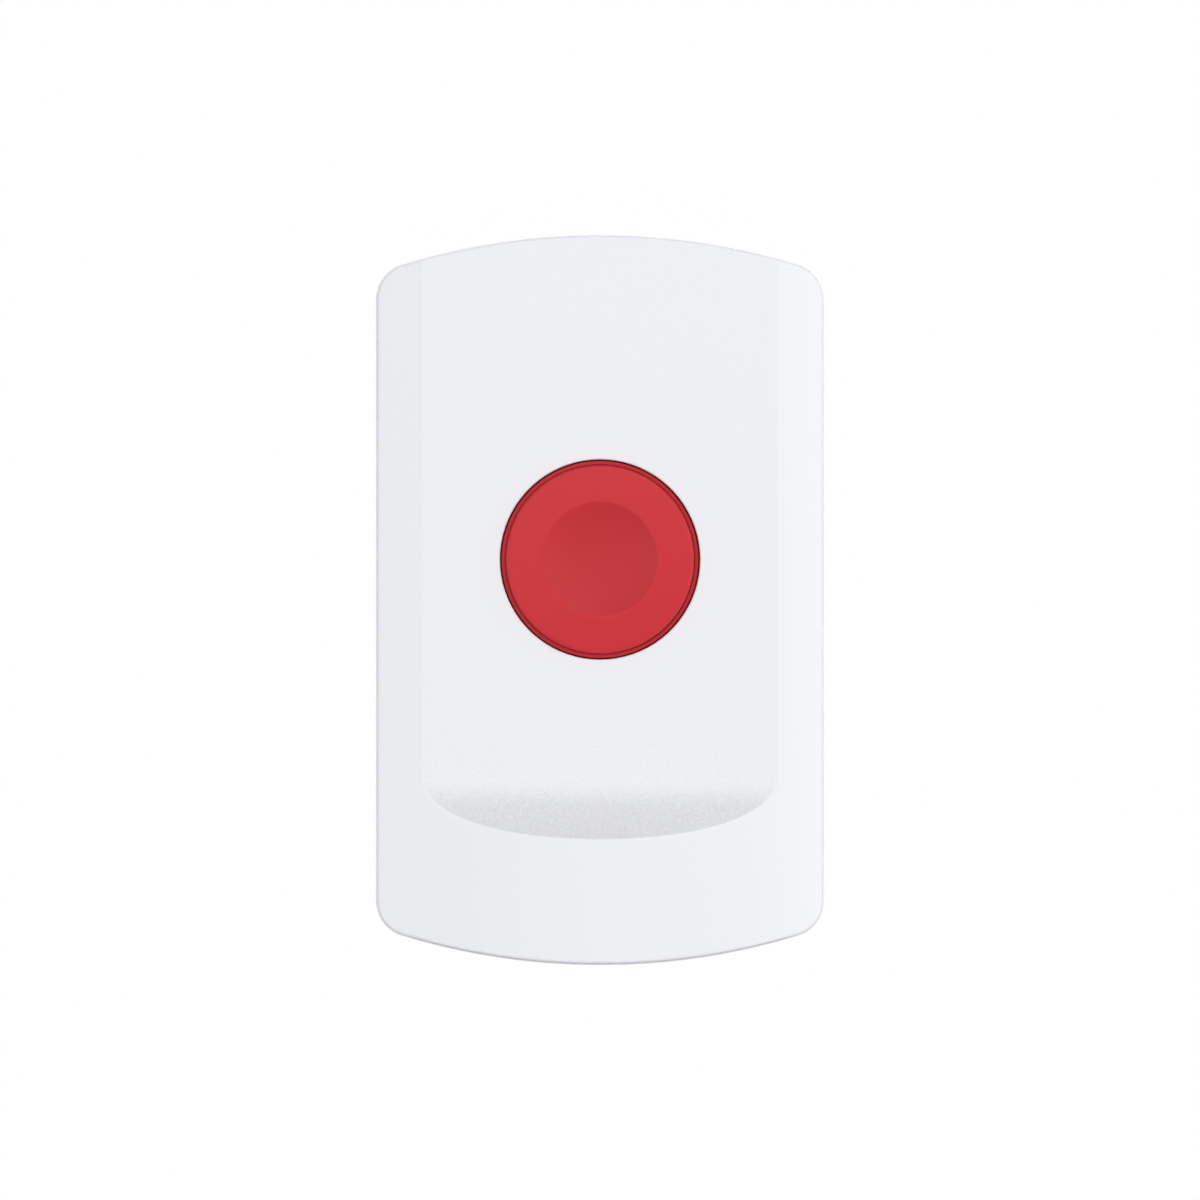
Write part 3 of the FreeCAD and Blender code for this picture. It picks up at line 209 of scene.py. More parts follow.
class Maker:
    """Short calls that add nodes to one node tree. A value is a number, a tuple or another node's socket."""

    def __init__(self, tree, shader=None):
        self.tree = tree
        self.shader = shader

    def add(self, kind, inputs=(), **settings):
        node = self.tree.nodes.new(kind)
        for name, value in settings.items():
            setattr(node, name, value)
        for key, value in dict(inputs).items():
            self.feed(node.inputs[key], value)
        return node

    def feed(self, socket, value):
        if isinstance(value, bpy.types.NodeSocket):
            self.tree.links.new(value, socket)
        else:
            socket.default_value = value

    def set(self, name, value):
        """Value of the material's own shader."""
        self.feed(self.shader[name], value)

    def bump(self, height, distance):
        """Bump of the material, from a height of nought to one, distance metres deep."""
        bump = self.add("ShaderNodeBump", {"Height": height, "Distance": distance})
        self.set("Normal", bump.outputs[0])

    def math(self, operation, *values):
        return self.add("ShaderNodeMath", enumerate(values), operation=operation).outputs[0]

    def times(self, value, *others):
        """Product of all the values."""
        for other in others:
            value = self.math("MULTIPLY", value, other)
        return value

    def rest(self, value):
        """What a value leaves of one."""
        return self.math("SUBTRACT", 1.0, value)

    def step(self, value, low, high, start=0.0, end=1.0):
        """Smooth step of a value, from start at low to end at high."""
        inputs = {"Value": value, "From Min": low, "From Max": high, "To Min": start, "To Max": end}
        return self.add("ShaderNodeMapRange", inputs, interpolation_type="SMOOTHSTEP").outputs[0]

    def parts(self, vector):
        return self.add("ShaderNodeSeparateXYZ", {0: vector}).outputs

    def noise(self, vector, scale, detail=2.0, rough=0.5):
        inputs = {"Vector": vector, "Scale": scale, "Detail": detail, "Roughness": rough}
        return self.add("ShaderNodeTexNoise", inputs).outputs[0]

    def mix(self, share, first, second):
        """Colour between two colours."""
        return self.add("ShaderNodeMix", {0: share, 6: first, 7: second}, data_type="RGBA").outputs[2]

    def shade(self, colour, factor):
        """Colour times a value."""
        inputs = {0: tuple(colour[:3]), "Scale": factor}
        return self.add("ShaderNodeVectorMath", inputs, operation="SCALE").outputs[0]

    def shared(self, name, *values):
        """Output of a shared node group, which is built when it is first asked for. The values are its
        first inputs, and the others keep their defaults."""
        tree = bpy.data.node_groups.get(name) or new_group(name)
        return self.add("ShaderNodeGroup", enumerate(values), node_tree=tree).outputs[0]


def moulded_grain(make, place, scale):
    """Spark-eroded grain of a mould: a fine noise, and a share of one with a larger grain."""
    larger, share = 0.45, 0.45
    coarse = make.noise(place, make.times(scale, larger), 1.0)
    fine = make.noise(place, scale, 1.0)
    return make.math("MULTIPLY_ADD", coarse, share, make.times(fine, 1.0 - share))


def slow_drift(make, place, scale, amount):
    """Tone that wanders slowly over a piece: one, less a share of large noise."""
    return make.rest(make.times(make.noise(place, scale), amount))


def brushed_lines(make, place, *scales):
    """Fine lines along one way: noise stretched by a scale for each axis."""
    stretched = enumerate(make.times(part, scale) for part, scale in zip(make.parts(place), scales))
    return make.noise(make.add("ShaderNodeCombineXYZ", stretched).outputs[0], 1.0, 3.0, 0.6)


def round_spot(make, place, inner, outer, centre_x, centre_z):
    """Round spot seen from the front: one within the inner radius, nothing past the outer."""
    x, _, z = make.parts(place)
    across = make.math("SUBTRACT", x, centre_x)
    up = make.math("SUBTRACT", z, centre_z)
    squares = make.math("ADD", make.times(across, across), make.times(up, up))
    return make.step(make.math("SQRT", squares), inner, outer, 1.0, 0.0)


def below_crown(make, place, radius, front):
    """Distance behind the crowned front: front - R + sqrt(R^2 - x^2), less the point's own depth."""
    x, y, _ = make.parts(place)
    square = make.math("SUBTRACT", make.times(radius, radius), make.times(x, x))
    sag = make.math("SUBTRACT", radius, make.math("SQRT", square))
    return make.math("SUBTRACT", make.math("ADD", y, front), sag)


# Each shared node group: its function, its output, and its inputs after Vector with their defaults.
GROUPS = {
    "moulded grain": (moulded_grain, "Grain", {"Scale": 9000.0}),
    "slow drift": (slow_drift, "Tone", {"Scale": 60.0, "Amount": 0.02}),
    "brushed lines": (brushed_lines, "Lines", {"Across X": 300.0, "Across Y": 9000.0, "Across Z": 9000.0}),
    "round spot": (round_spot, "Mask", {"Inner": 0.001, "Outer": 0.002, "Centre X": 0.0, "Centre Z": 0.0}),
    "below crown": (below_crown, "Drop", {"Radius": 0.076, "Front": 0.019}),
}


def new_group(name):
    """Shader node group that its row in GROUPS describes."""
    build, output, numbers = GROUPS[name]
    tree = bpy.data.node_groups.new(name, "ShaderNodeTree")
    tree.interface.new_socket("Vector", in_out="INPUT", socket_type="NodeSocketVector")
    for key, value in numbers.items():
        socket = tree.interface.new_socket(key, in_out="INPUT", socket_type="NodeSocketFloat")
        socket.default_value = value
    tree.interface.new_socket(output, in_out="OUTPUT", socket_type="NodeSocketFloat")
    given = tree.nodes.new("NodeGroupInput").outputs
    make = Maker(tree)
    value = build(make, *(given[key] for key in ("Vector", *numbers)))
    make.feed(tree.nodes.new("NodeGroupOutput").inputs[0], value)
    return tree


def new_material(name, roughness, metallic=0.0, specular=0.5):
    """Principled material: itself, its node maker and its Object coordinates."""
    material = bpy.data.materials.new(name)
    material.use_nodes = True
    make = Maker(material.node_tree, material.node_tree.nodes["Principled BSDF"].inputs)
    make.set("Roughness", roughness)
    make.set("Metallic", metallic)
    make.set("Specular IOR Level", specular)
    return material, make, make.add("ShaderNodeTexCoord").outputs["Object"]


def give(material, *nodes):
    """Put the material on CAD nodes in place of their own."""
    for node in nodes:
        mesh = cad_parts[node].data
        mesh.materials.clear()
        mesh.materials.append(material)


def plain_moulding(name, colour, roughness, grain_depth, drift=0.06):
    """Moulded plastic with fine grain and a slowly drifting tone."""
    material, make, place = new_material(name, roughness)
    tone = make.shared("slow drift", place, 200.0, drift)
    grain = make.shared("moulded grain", place, 7000.0)
    make.set("Base Color", make.shade(colour, tone))
    make.set("Roughness", make.step(grain, 0.2, 0.8, roughness - 0.05, roughness + 0.06))
    make.bump(grain, grain_depth)
    return material


def drawn_metal(name, scales, smooth, rough):
    """Metal with drawn lines, which its roughness follows. Returns what new_material does, and the lines."""
    material, make, place = new_material(name, smooth, 1.0)
    lines = make.shared("brushed lines", place, *scales)
    make.set("Roughness", make.step(lines, *LINE_SPAN, smooth, rough))
    return material, make, place, lines


def brushed_metal(name, colour, roughness, scales, contrast=0.12):
    """Bare or plated metal whose tone and roughness follow its drawn lines."""
    material, make, place, lines = drawn_metal(name, scales, roughness - 0.06, roughness + 0.08)
    drift = make.shared("slow drift", place, 400.0, contrast)
    tone = make.times(drift, make.step(lines, *LINE_SPAN, 1.0 - contrast, 1.0))
    make.set("Base Color", make.shade(colour, tone))
    make.bump(lines, 2e-6)
    return material


# Settings.

def length_setting(name, description, size):
    """Length, given in millimetres."""
    return bpy.props.FloatProperty(name=name, description=description, unit="LENGTH", default=size * MM)


def number_setting(name, description, default):
    return bpy.props.FloatProperty(name=name, description=description, default=default, min=0)


def colour_setting(name, description, default):
    return bpy.props.FloatVectorProperty(name=name, description=description, subtype="COLOR", size=3,
                                         min=0, max=1, default=default)


class CoverSettings(bpy.types.PropertyGroup):
    """Finish of the white mouldings."""

    colour: colour_setting("Cover colour", "White plastic of the cover", (0.86, 0.868, 0.9))
    plate_colour: colour_setting("Plate colour", "White plastic of the wall plate", (0.8, 0.806, 0.82))
    # Painted shade: this share of the panel's colour is what the ramp's colour is darkened to.
    ramp_painted_shade: number_setting("Ramp tone", "Tone of the coarser grain on the ramp, against the panel's", 0.83)
    crown_radius: length_setting("Crown radius", "Curve of the front across the body", 76)
    panel_half: length_setting("Panel", "Middle of the body to the straight sides of the panel", 21.5)
    panel_drop: length_setting("Panel depth", "Panel behind the crown at its deepest", 2.66)


class CapSettings(bpy.types.PropertyGroup):
    """Shape and finish of the push cap."""

    colour: colour_setting("Cap colour", "Red plastic of the cap", (0.584, 0.0165, 0.0255))
    # Painted shade: this share of the face's colour is what the finger dish's colour is darkened to.
    dish_painted_shade: number_setting("Dish tone", "Tone of the finger dish, against the face's", 0.905)
    segments: bpy.props.IntProperty(
        name="Segments", description="Facets once round the cap", default=216, min=48, max=512)
    face_radius: length_setting("Face radius", "Edge of the domed face", 10.44)
    face_round: length_setting("Face edge", "Rounding of the face's edge", 0.3)
    skirt_radius: length_setting("Skirt radius", "Ledge and skirt in the hole", 10.97)
    ledge_drop: length_setting("Ledge drop", "Ledge below the panel", 0.6)
    groove_width: length_setting("Groove width", "Groove between the face's edge and the ledge", 0.12)
    groove_depth: length_setting("Groove depth", "Groove below the ledge", 0.17)
    dome_radius: length_setting("Dome radius", "Curve of the domed face", 76)
    dish_radius: length_setting("Dish radius", "Edge of the finger dish", 6.42)
    dish_depth: length_setting("Dish depth", "Finger dish below its edge", 1.2)
    dish_round: length_setting("Dish edge", "Rounding of the dish's edge", 0.9)


class BoardSettings(bpy.types.PropertyGroup):
    """Finish of the circuit board, and what is fixed to it."""

    mask_colour: colour_setting("Solder mask", "Lacquer on the circuit board", (0.012, 0.1, 0.038))
    screw_across: length_setting("Screws across", "Middle of the board to a screw", 17.3)
    screw_up: length_setting("Screws up", "Middle of the board to a screw", 27.5)
    chip_pads: bpy.props.IntProperty(
        name="Chip pads", description="Pads on each side of the radio chip", default=7, min=1, max=12)


class StageSettings(bpy.types.PropertyGroup):
    """Camera, lamps and floor."""

    frame_width: length_setting("Frame width", "Width that the picture covers at the part", 133.93)
    lens: bpy.props.FloatProperty(
        name="Lens", description="Focal length, long for a nearly parallel view", unit="CAMERA", default=1000)
    lamp_distance: length_setting("Lamp distance", "Lamps to the part", 1100)
    light_level: number_setting("Light level", "Multiplies the lamps and the room's light", 0.99)
    room_light: number_setting("Room light", "Strength of the even light from all round", 0.483)
    floor_radius: length_setting("Floor radius", "Where the floor has faded into the white", 350)


# Each lamp: degrees to the right and up from the front, width and height in metres, and watts.
LAMPS = {
    "key_panel": (24, 26, 0.45, 0.45, 0.55),
    "high_front_panel": (0, 22, 1.0, 1.0, 1.25),
    "left_front_panel": (-22, 0, 1.1, 1.1, 1.87),
    "left_panel": (-45, 0, 0.45, 0.45, 0.8),
    "right_panel": (45, 0, 0.45, 0.45, 1.31),
    "low_right_panel": (45, -45, 0.45, 0.45, 0.82),
    "high_right_panel": (30, 45, 0.6, 0.6, 1.15),
    "right_wall": (75, 0, 0.8, 1.6, 2.53),
    "left_wall": (-75, 0, 0.8, 1.6, 0.45),
    "overhead_panel": (0, 50, 1.6, 0.8, 0.5),
    "back_panel": (180, 15, 0.9, 0.9, 5.0),
}


class STAGE_OT_build(bpy.types.Operator):
    """Camera, lamps, pale floor and white surroundings"""

    bl_idname = "panic_button.stage"
    bl_label = "Stage"

    def execute(self, context):
        settings = context.scene.stage_settings
        scene = context.scene
        camera = bpy.data.objects.new("camera", bpy.data.cameras.new("camera"))
        sensor = 36
        camera.data.lens = settings.lens
        camera.data.sensor_width = sensor
        camera.data.clip_start = 0.1
        camera.data.clip_end = 20
        camera.location = (0, -settings.frame_width * settings.lens / sensor, 0)
        camera.rotation_euler = (math.pi / 2, 0, 0)
        scene.collection.objects.link(camera)
        scene.camera = camera
        scene.view_settings.view_transform = "Standard"
        for name, (across, up, width, height, power) in LAMPS.items():
            light = bpy.data.lights.new(name, "AREA")
            light.shape = "RECTANGLE"
            light.size = width
            light.size_y = height
            light.energy = power * settings.light_level
            lamp = bpy.data.objects.new(name, light)
            turn, tilt = math.radians(across), math.radians(up)
            out, rise = math.cos(tilt) * settings.lamp_distance, math.sin(tilt) * settings.lamp_distance
            lamp.location = (out * math.sin(turn), -out * math.cos(turn), rise)
            lamp.rotation_euler = (math.pi / 2 - tilt, 0, turn)
            lamp.visible_camera = False
            scene.collection.objects.link(lamp)
        scene.world = self.surroundings(settings)
        scene.collection.objects.link(self.floor(settings))
        return {"FINISHED"}

    def surroundings(self, settings):
        """Even light on the object, and plain white to the camera, in reflections and through glass."""
        world = bpy.data.worlds.new("surroundings")
        world.use_nodes = True
        world.node_tree.nodes.clear()
        make = Maker(world.node_tree)
        rays = make.add("ShaderNodeLightPath").outputs
        mirrored = make.math("MAXIMUM", rays["Is Glossy Ray"], rays["Is Transmission Ray"])
        seen = make.math("MAXIMUM", rays["Is Camera Ray"], mirrored)
        room = make.add("ShaderNodeBackground", {
            "Color": (1, 1, 1, 1), "Strength": settings.room_light * settings.light_level})
        white = make.add("ShaderNodeBackground", {"Color": (1, 1, 1, 1), "Strength": 1.0})
        mix = make.add("ShaderNodeMixShader", {0: seen, 1: room.outputs[0], 2: white.outputs[0]})
        make.add("ShaderNodeOutputWorld", {"Surface": mix.outputs[0]})
        return world

    def floor(self, settings):
        """Flat round floor below the object: x = r cos(a), y = r sin(a), at one height. It fades into the
        white at its rim and is seen by the camera alone, so that it neither shades nor tints the object."""
        radius, height = settings.floor_radius, -2 * node_box("front_cover")[1][2]
        angles = full_turn(96)
        rim = np.stack([radius * np.cos(angles), radius * np.sin(angles), np.full(96, height)], axis=-1)
        mesh = bpy.data.meshes.new("floor")
        mesh.from_pydata(rim.tolist(), [], [list(range(len(rim)))])
        floor = bpy.data.objects.new("floor", mesh)
        for ray in ("diffuse", "glossy", "transmission", "shadow"):
            setattr(floor, f"visible_{ray}", False)
        material, make, place = new_material("floor_white", 0.7)
        upright = make.add("ShaderNodeMapping", {"Vector": place, "Rotation": (math.pi / 2, 0, 0)})
        shaded = make.times(make.shared("round spot", upright.outputs[0], 0.3 * radius, radius), 0.55)
        tone = make.shared("slow drift", place, 4.0, 0.02)
        make.set("Base Color", make.shade((0.92, 0.92, 0.92), tone))
        white = make.add("ShaderNodeEmission", {"Color": (1, 1, 1, 1), "Strength": 1.0})
        nodes = material.node_tree.nodes
        mix = make.add("ShaderNodeMixShader", {
            0: shaded, 1: white.outputs[0], 2: nodes["Principled BSDF"].outputs[0]})
        make.feed(nodes["Material Output"].inputs["Surface"], mix.outputs[0])
        mesh.materials.append(material)
        return floor


class COVER_OT_finish(bpy.types.Operator):
    """White cover: a satin panel and a grained ramp with painted shade in a smoother crowned front"""

    bl_idname = "panic_button.cover"
    bl_label = "Cover finish"

    def execute(self, context):
        settings = context.scene.cover_settings
        material, make, place = new_material("cover_white", 0.34)
        x, _, z = make.parts(place)
        # The panel lies between its straight sides, from just behind the crown down to its own depth.
        half, deep = settings.panel_half, settings.panel_drop
        ramp_ends = (-19.9 * MM, -23.4 * MM)
        coarse_ends = (-8 * MM, -22 * MM)
        drop = make.shared("below crown", place, settings.crown_radius, COVER_FRONT)
        middle = make.step(make.math("ABSOLUTE", x), half - MM, half, 1.0, 0.0)
        panel = make.times(make.step(drop, 0.02 * MM, 0.12 * MM),
                           make.step(drop, deep, deep + 0.14 * MM, 1.0, 0.0), middle)
        ramp = make.times(panel, make.step(z, *ramp_ends))
        lower = make.times(panel, make.step(z, *coarse_ends))
        grain = make.shared("moulded grain", place, 6500.0)
        drift = make.shared("slow drift", place, 45.0, 0.008)
        # Painted shade: the ramp's colour is darkened, down to the given share of the panel's.
        tone = make.rest(make.times(ramp, 1.0 - settings.ramp_painted_shade))
        coarse = make.times(make.math("ADD", ramp, lower), 0.5)
        speckle = make.rest(make.times(coarse, make.math("SUBTRACT", grain, 0.5), 0.42))
        make.set("Base Color", make.shade(settings.colour, make.times(drift, tone, speckle)))
        # What faces away from the front is rougher, or the white surroundings would hide the outline.
        facing = make.parts(make.add("ShaderNodeTexCoord").outputs["Normal"])[1]
        sides = make.step(facing, -0.9, -0.4, 0.0, 0.35)
        make.set("Roughness", make.math("ADD", sides, make.step(panel, 0.0, 1.0, 0.3, 0.42)))
        make.bump(make.times(grain, make.step(panel, 0.0, 1.0, 0.15, 1.0)), 2.5e-6)
        give(material, "front_cover")
        return {"FINISHED"}


class PLATE_OT_finish(bpy.types.Operator):
    """White wall plate with fine grain, ejector marks and a gate mark"""

    bl_idname = "panic_button.plate"
    bl_label = "Wall plate finish"

    def execute(self, context):
        settings = context.scene.cover_settings
        material, make, place = new_material("plate_white", 0.5)
        ejectors = ((-15, 14), (15, 14), (-15, -14), (15, -14), (0, 34), (0, -34))
        marks = 0.0
        for across, up in ejectors:
            mark = make.shared("round spot", place, 2.2 * MM, 2.35 * MM, across * MM, up * MM)
            marks = make.math("MAXIMUM", marks, mark)
        gate = make.shared("round spot", place, 0.5 * MM, 1.1 * MM)
        grain = make.shared("moulded grain", place, 5000.0)
        drift = make.shared("slow drift", place, 50.0, 0.03)
        tone = make.math("SUBTRACT", drift, make.times(marks, 0.012))
        make.set("Base Color", make.shade(settings.plate_colour, tone))
        make.set("Roughness", make.step(marks, 0.0, 1.0, 0.52, 0.36))
        rough = make.times(grain, make.step(marks, 0.0, 1.0, 0.12, 0.02))
        spots = make.math("SUBTRACT", make.times(gate, 0.8), make.times(marks, 0.5))
        make.bump(make.math("ADD", rough, spots), 6e-5)
        give(material, "wall_plate")
        return {"FINISHED"}


class CAP_OT_build(bpy.types.Operator):
    """Red push cap: domed face, finger dish, ledge, skirt, guide band with three notches, and post"""

    bl_idname = "panic_button.cap"
    bl_label = "Push cap"

    def execute(self, context):
        settings = context.scene.cap_settings
        line = self.profile(settings)
        band = node_box("button_cap")[1][0]
        # Three notches in the guide band pass the cover's keys, the first at the top.
        notch_half = 0.8 * MM / band
        notches = math.pi / 2 + np.arange(3) * 2 * math.pi / 3
        edges = (notches[:, None] + np.array([-1.02, -0.98, 0.98, 1.02]) * notch_half).ravel()
        angles = np.sort(np.concatenate([full_turn(settings.segments), edges % (2 * math.pi)]))
        off = np.abs((angles[:, None] - notches + math.pi) % (2 * math.pi) - math.pi).min(axis=1)
        reach = np.minimum(line[:, 1:], np.where(off < notch_half, band - MM, band))

        material, make, place = new_material("cap_red", 0.42, specular=0.35)
        dish = settings.dish_radius
        dished = make.shared("round spot", place, dish - 0.15 * MM, dish + 0.1 * MM, 0.0, BUTTON_Z)
        grain = make.shared("moulded grain", place, 6000.0)
        drift = make.shared("slow drift", place, 120.0, 0.03)
        # Painted shade: the finger dish's colour is darkened, down to the given share of the face's.
        tone = make.times(drift, make.step(dished, 0.0, 1.0, 1.0, settings.dish_painted_shade))
        make.set("Base Color", make.shade(settings.colour, tone))
        make.set("Roughness", make.step(dished, 0.0, 1.0, 0.42, 0.48))
        make.bump(grain, 1.2e-6)
        skin = closed_skin(turned(line, angles, centre_z=BUTTON_Z, reach=reach))
        new_piece("push_cap", [skin], material, ("button_cap",), body="button")
        return {"FINISHED"}

    def profile(self, settings):
        """Line of (depth, radius) from the middle of the dish over the face and round to the post's end.
        The dish is centre - sqrt(R^2 - r^2) and the face centre + sqrt(R^2 - r^2). The arc between them has
        its centre R + s from the dish's and R - s from the face's."""
        face, skirt, curve = settings.face_radius, settings.skirt_radius, settings.dome_radius
        dish, dip, soft = settings.dish_radius, settings.dish_depth, settings.dish_round
        rise, wall, post = 1.2 * MM, 1.75 * MM, 1.6 * MM
        band_front = CAP_BACK + 2 * MM
        panel = band_front + 2 * MM
        dome_centre = panel + rise - curve
        dish_edge = dome_centre + math.sqrt(curve**2 - dish**2)
        dish_curve = (dish**2 + dip**2) / (2 * dip)
        dish_centre = dish_edge - dip + dish_curve
        gap = dish_centre - dome_centre
        along = ((dish_curve + soft)**2 - (curve - soft)**2 + gap**2) / (2 * gap)
        middle = np.array([dish_centre - along, math.sqrt((dish_curve + soft)**2 - along**2)])
        first = math.atan2(middle[1], dish_centre - middle[0])
        last = math.atan2(middle[1], middle[0] - dome_centre)
        dish_turn = np.linspace(0.02, first, 40)
        edge_turn = np.linspace(-first, last, 14)[1:-1]
        face_turn = np.linspace(last, math.asin((face - 2 * settings.face_round) / curve), 18)
        face_edge = dome_centre + math.sqrt(curve**2 - face**2)
        top = np.concatenate([
            np.stack([dish_centre - dish_curve * np.cos(dish_turn), dish_curve * np.sin(dish_turn)], axis=-1),
            np.stack([middle[0] + soft * np.cos(edge_turn), middle[1] + soft * np.sin(edge_turn)], axis=-1),
            np.stack([dome_centre + curve * np.cos(face_turn), curve * np.sin(face_turn)], axis=-1)])
        step = panel - settings.ledge_drop
        inside = skirt - wall
        underside = dish_edge - dip - 1.3 * MM
        band = node_box("button_cap")[1][0]
        bottom, outer = step - settings.groove_depth, face + settings.groove_width
        post_end = depth_span("switch_plunger")[1]
        rim = rounded_line((
            (*top[-1], 0),
            (face_edge, face, settings.face_round),
            (bottom, face, 0.03 * MM),
            (bottom, outer, 0.03 * MM),
            (step, outer, 0.03 * MM),
            (step, skirt, 0.06 * MM),
            (band_front, skirt, 0.1 * MM),
            (band_front, band, 0.1 * MM),
            (CAP_BACK, band, 0.1 * MM),
            (CAP_BACK, inside, 0.1 * MM),
            (underside, inside, 0.3 * MM),
            (underside, post, 0.3 * MM),
            (post_end, post, 0.15 * MM),
            (post_end, 0.02 * MM, 0),
        ))
        return np.concatenate([top, rim[1:]])


class SPRING_OT_build(bpy.types.Operator):
    """Return spring with closed, ground ends"""

    bl_idname = "panic_button.spring"
    bl_label = "Return spring"

    def execute(self, context):
        back, front = depth_span("return_spring")
        turns, crowding, travel = 4, 0.09, 1.0 * MM
        wire = 0.25 * MM
        ground = 0.6 * wire
        radius = node_box("return_spring")[1][0] - wire
        # Depth rises as s - k sin(2 pi s): slowly at both ends, where the turns lie on each other.
        share = np.linspace(0, 1, 130 * turns)
        rise = share - crowding * np.sin(2 * math.pi * share)
        turn = 2 * math.pi * turns * share
        depth = back + ground + rise * (front - back - 2 * ground)
        path = np.stack([radius * np.sin(turn), -depth, BUTTON_Z + radius * np.cos(turn)], axis=-1)
        grid = swept(path, wire, 12)
        grid[..., 1] = np.clip(grid[..., 1], -front, -back)
        steel = brushed_metal("spring_wire", (0.6, 0.59, 0.57), 0.24, (9000, 9000, 9000))
        spring = new_piece("coil_spring", [closed_skin(grid)], steel,
                           ("return_spring",), 50)
        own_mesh(spring)
        return {"FINISHED"}


class SWITCH_OT_finish(bpy.types.Operator):
    """Tactile switch: moulded base, steel top, plunger, dome and tinned legs"""

    bl_idname = "panic_button.switch"
    bl_label = "Switch finish"

    def execute(self, context):
        give(plain_moulding("switch_black", (0.012, 0.012, 0.013), 0.42, 2e-6), "switch_base")
        give(plain_moulding("plunger_black", (0.02, 0.02, 0.021), 0.36, 1.5e-6), "switch_plunger")
        give(brushed_metal("switch_steel", (0.6, 0.6, 0.59), 0.3, (900, 9000, 16000)), "switch_cover")
        give(brushed_metal("dome_steel", (0.62, 0.61, 0.59), 0.22, (6000, 6000, 6000), 0.06), "contact_dome")
        give(brushed_metal("leg_tin", (0.66, 0.66, 0.64), 0.34, (4000, 4000, 9000)), "switch_terminals")
        return {"FINISHED"}


class BOARD_OT_finish(bpy.types.Operator):
    """Circuit board: green lacquer over tracks, tinned rings at its screws and a brown laminate edge"""

    bl_idname = "panic_button.board"
    bl_label = "Board finish"

    def execute(self, context):
        settings = context.scene.board_settings
        material, make, place = new_material("board_green", 0.36)
        x, y, z = make.parts(place)
        # Tracks are the joints between bricks, laid both ways; vias are small dots.
        level = make.add("ShaderNodeCombineXYZ", {0: x, 1: z}).outputs[0]
        upright = make.add("ShaderNodeCombineXYZ", {0: z, 1: x}).outputs[0]
        level_tracks, upright_tracks = (make.add("ShaderNodeTexBrick", {
            "Vector": way, "Scale": 1 / MM, "Mortar Size": 0.11, "Mortar Smooth": 0.1,
            "Brick Width": width, "Row Height": height}).outputs["Fac"]
            for way, width, height in ((level, 5.3, 1.7), (upright, 7.3, 2.4)))
        pours = make.step(make.noise(place, 160.0, 0.0), 0.48, 0.5)
        tracks = make.times(make.math("MAXIMUM", level_tracks, upright_tracks), make.rest(pours))
        copper = make.math("MAXIMUM", tracks, make.times(pours, 0.8))
        dots = make.add("ShaderNodeTexVoronoi", {"Vector": level, "Scale": 260.0, "Randomness": 0.7},
                        voronoi_dimensions="2D")
        tin = make.step(dots.outputs["Distance"], 0.075, 0.095, 1.0, 0.0)
        for column, row in CORNERS:
            ring = make.shared("round spot", place, 2.25 * MM, 2.32 * MM, column * settings.screw_across,
                               row * settings.screw_up)
            tin = make.math("MAXIMUM", tin, ring)
        off_middle = make.math("ABSOLUTE", make.math("ADD", y, (BOARD_BACK + BOARD_FRONT) / 2))
        edge = make.step(off_middle, 0.72 * MM, 0.76 * MM, 1.0, 0.0)
        grain = make.shared("moulded grain", place, 2500.0)
        green = make.mix(copper, (*settings.mask_colour, 1), (0.02, 0.17, 0.06, 1))
        lacquer = make.mix(tin, green, (0.6, 0.6, 0.58, 1))
        core = make.mix(grain, (0.2, 0.15, 0.06, 1), (0.42, 0.34, 0.17, 1))
        make.set("Base Color", make.mix(edge, lacquer, core))
        make.set("Metallic", make.times(tin, make.rest(edge)))
        make.set("Roughness", make.step(edge, 0.0, 1.0, 0.32, 0.7))
        make.bump(make.math("MULTIPLY_ADD", copper, 0.8, make.times(grain, 0.15)), 3e-5)
        give(material, "circuit_board")
        return {"FINISHED"}


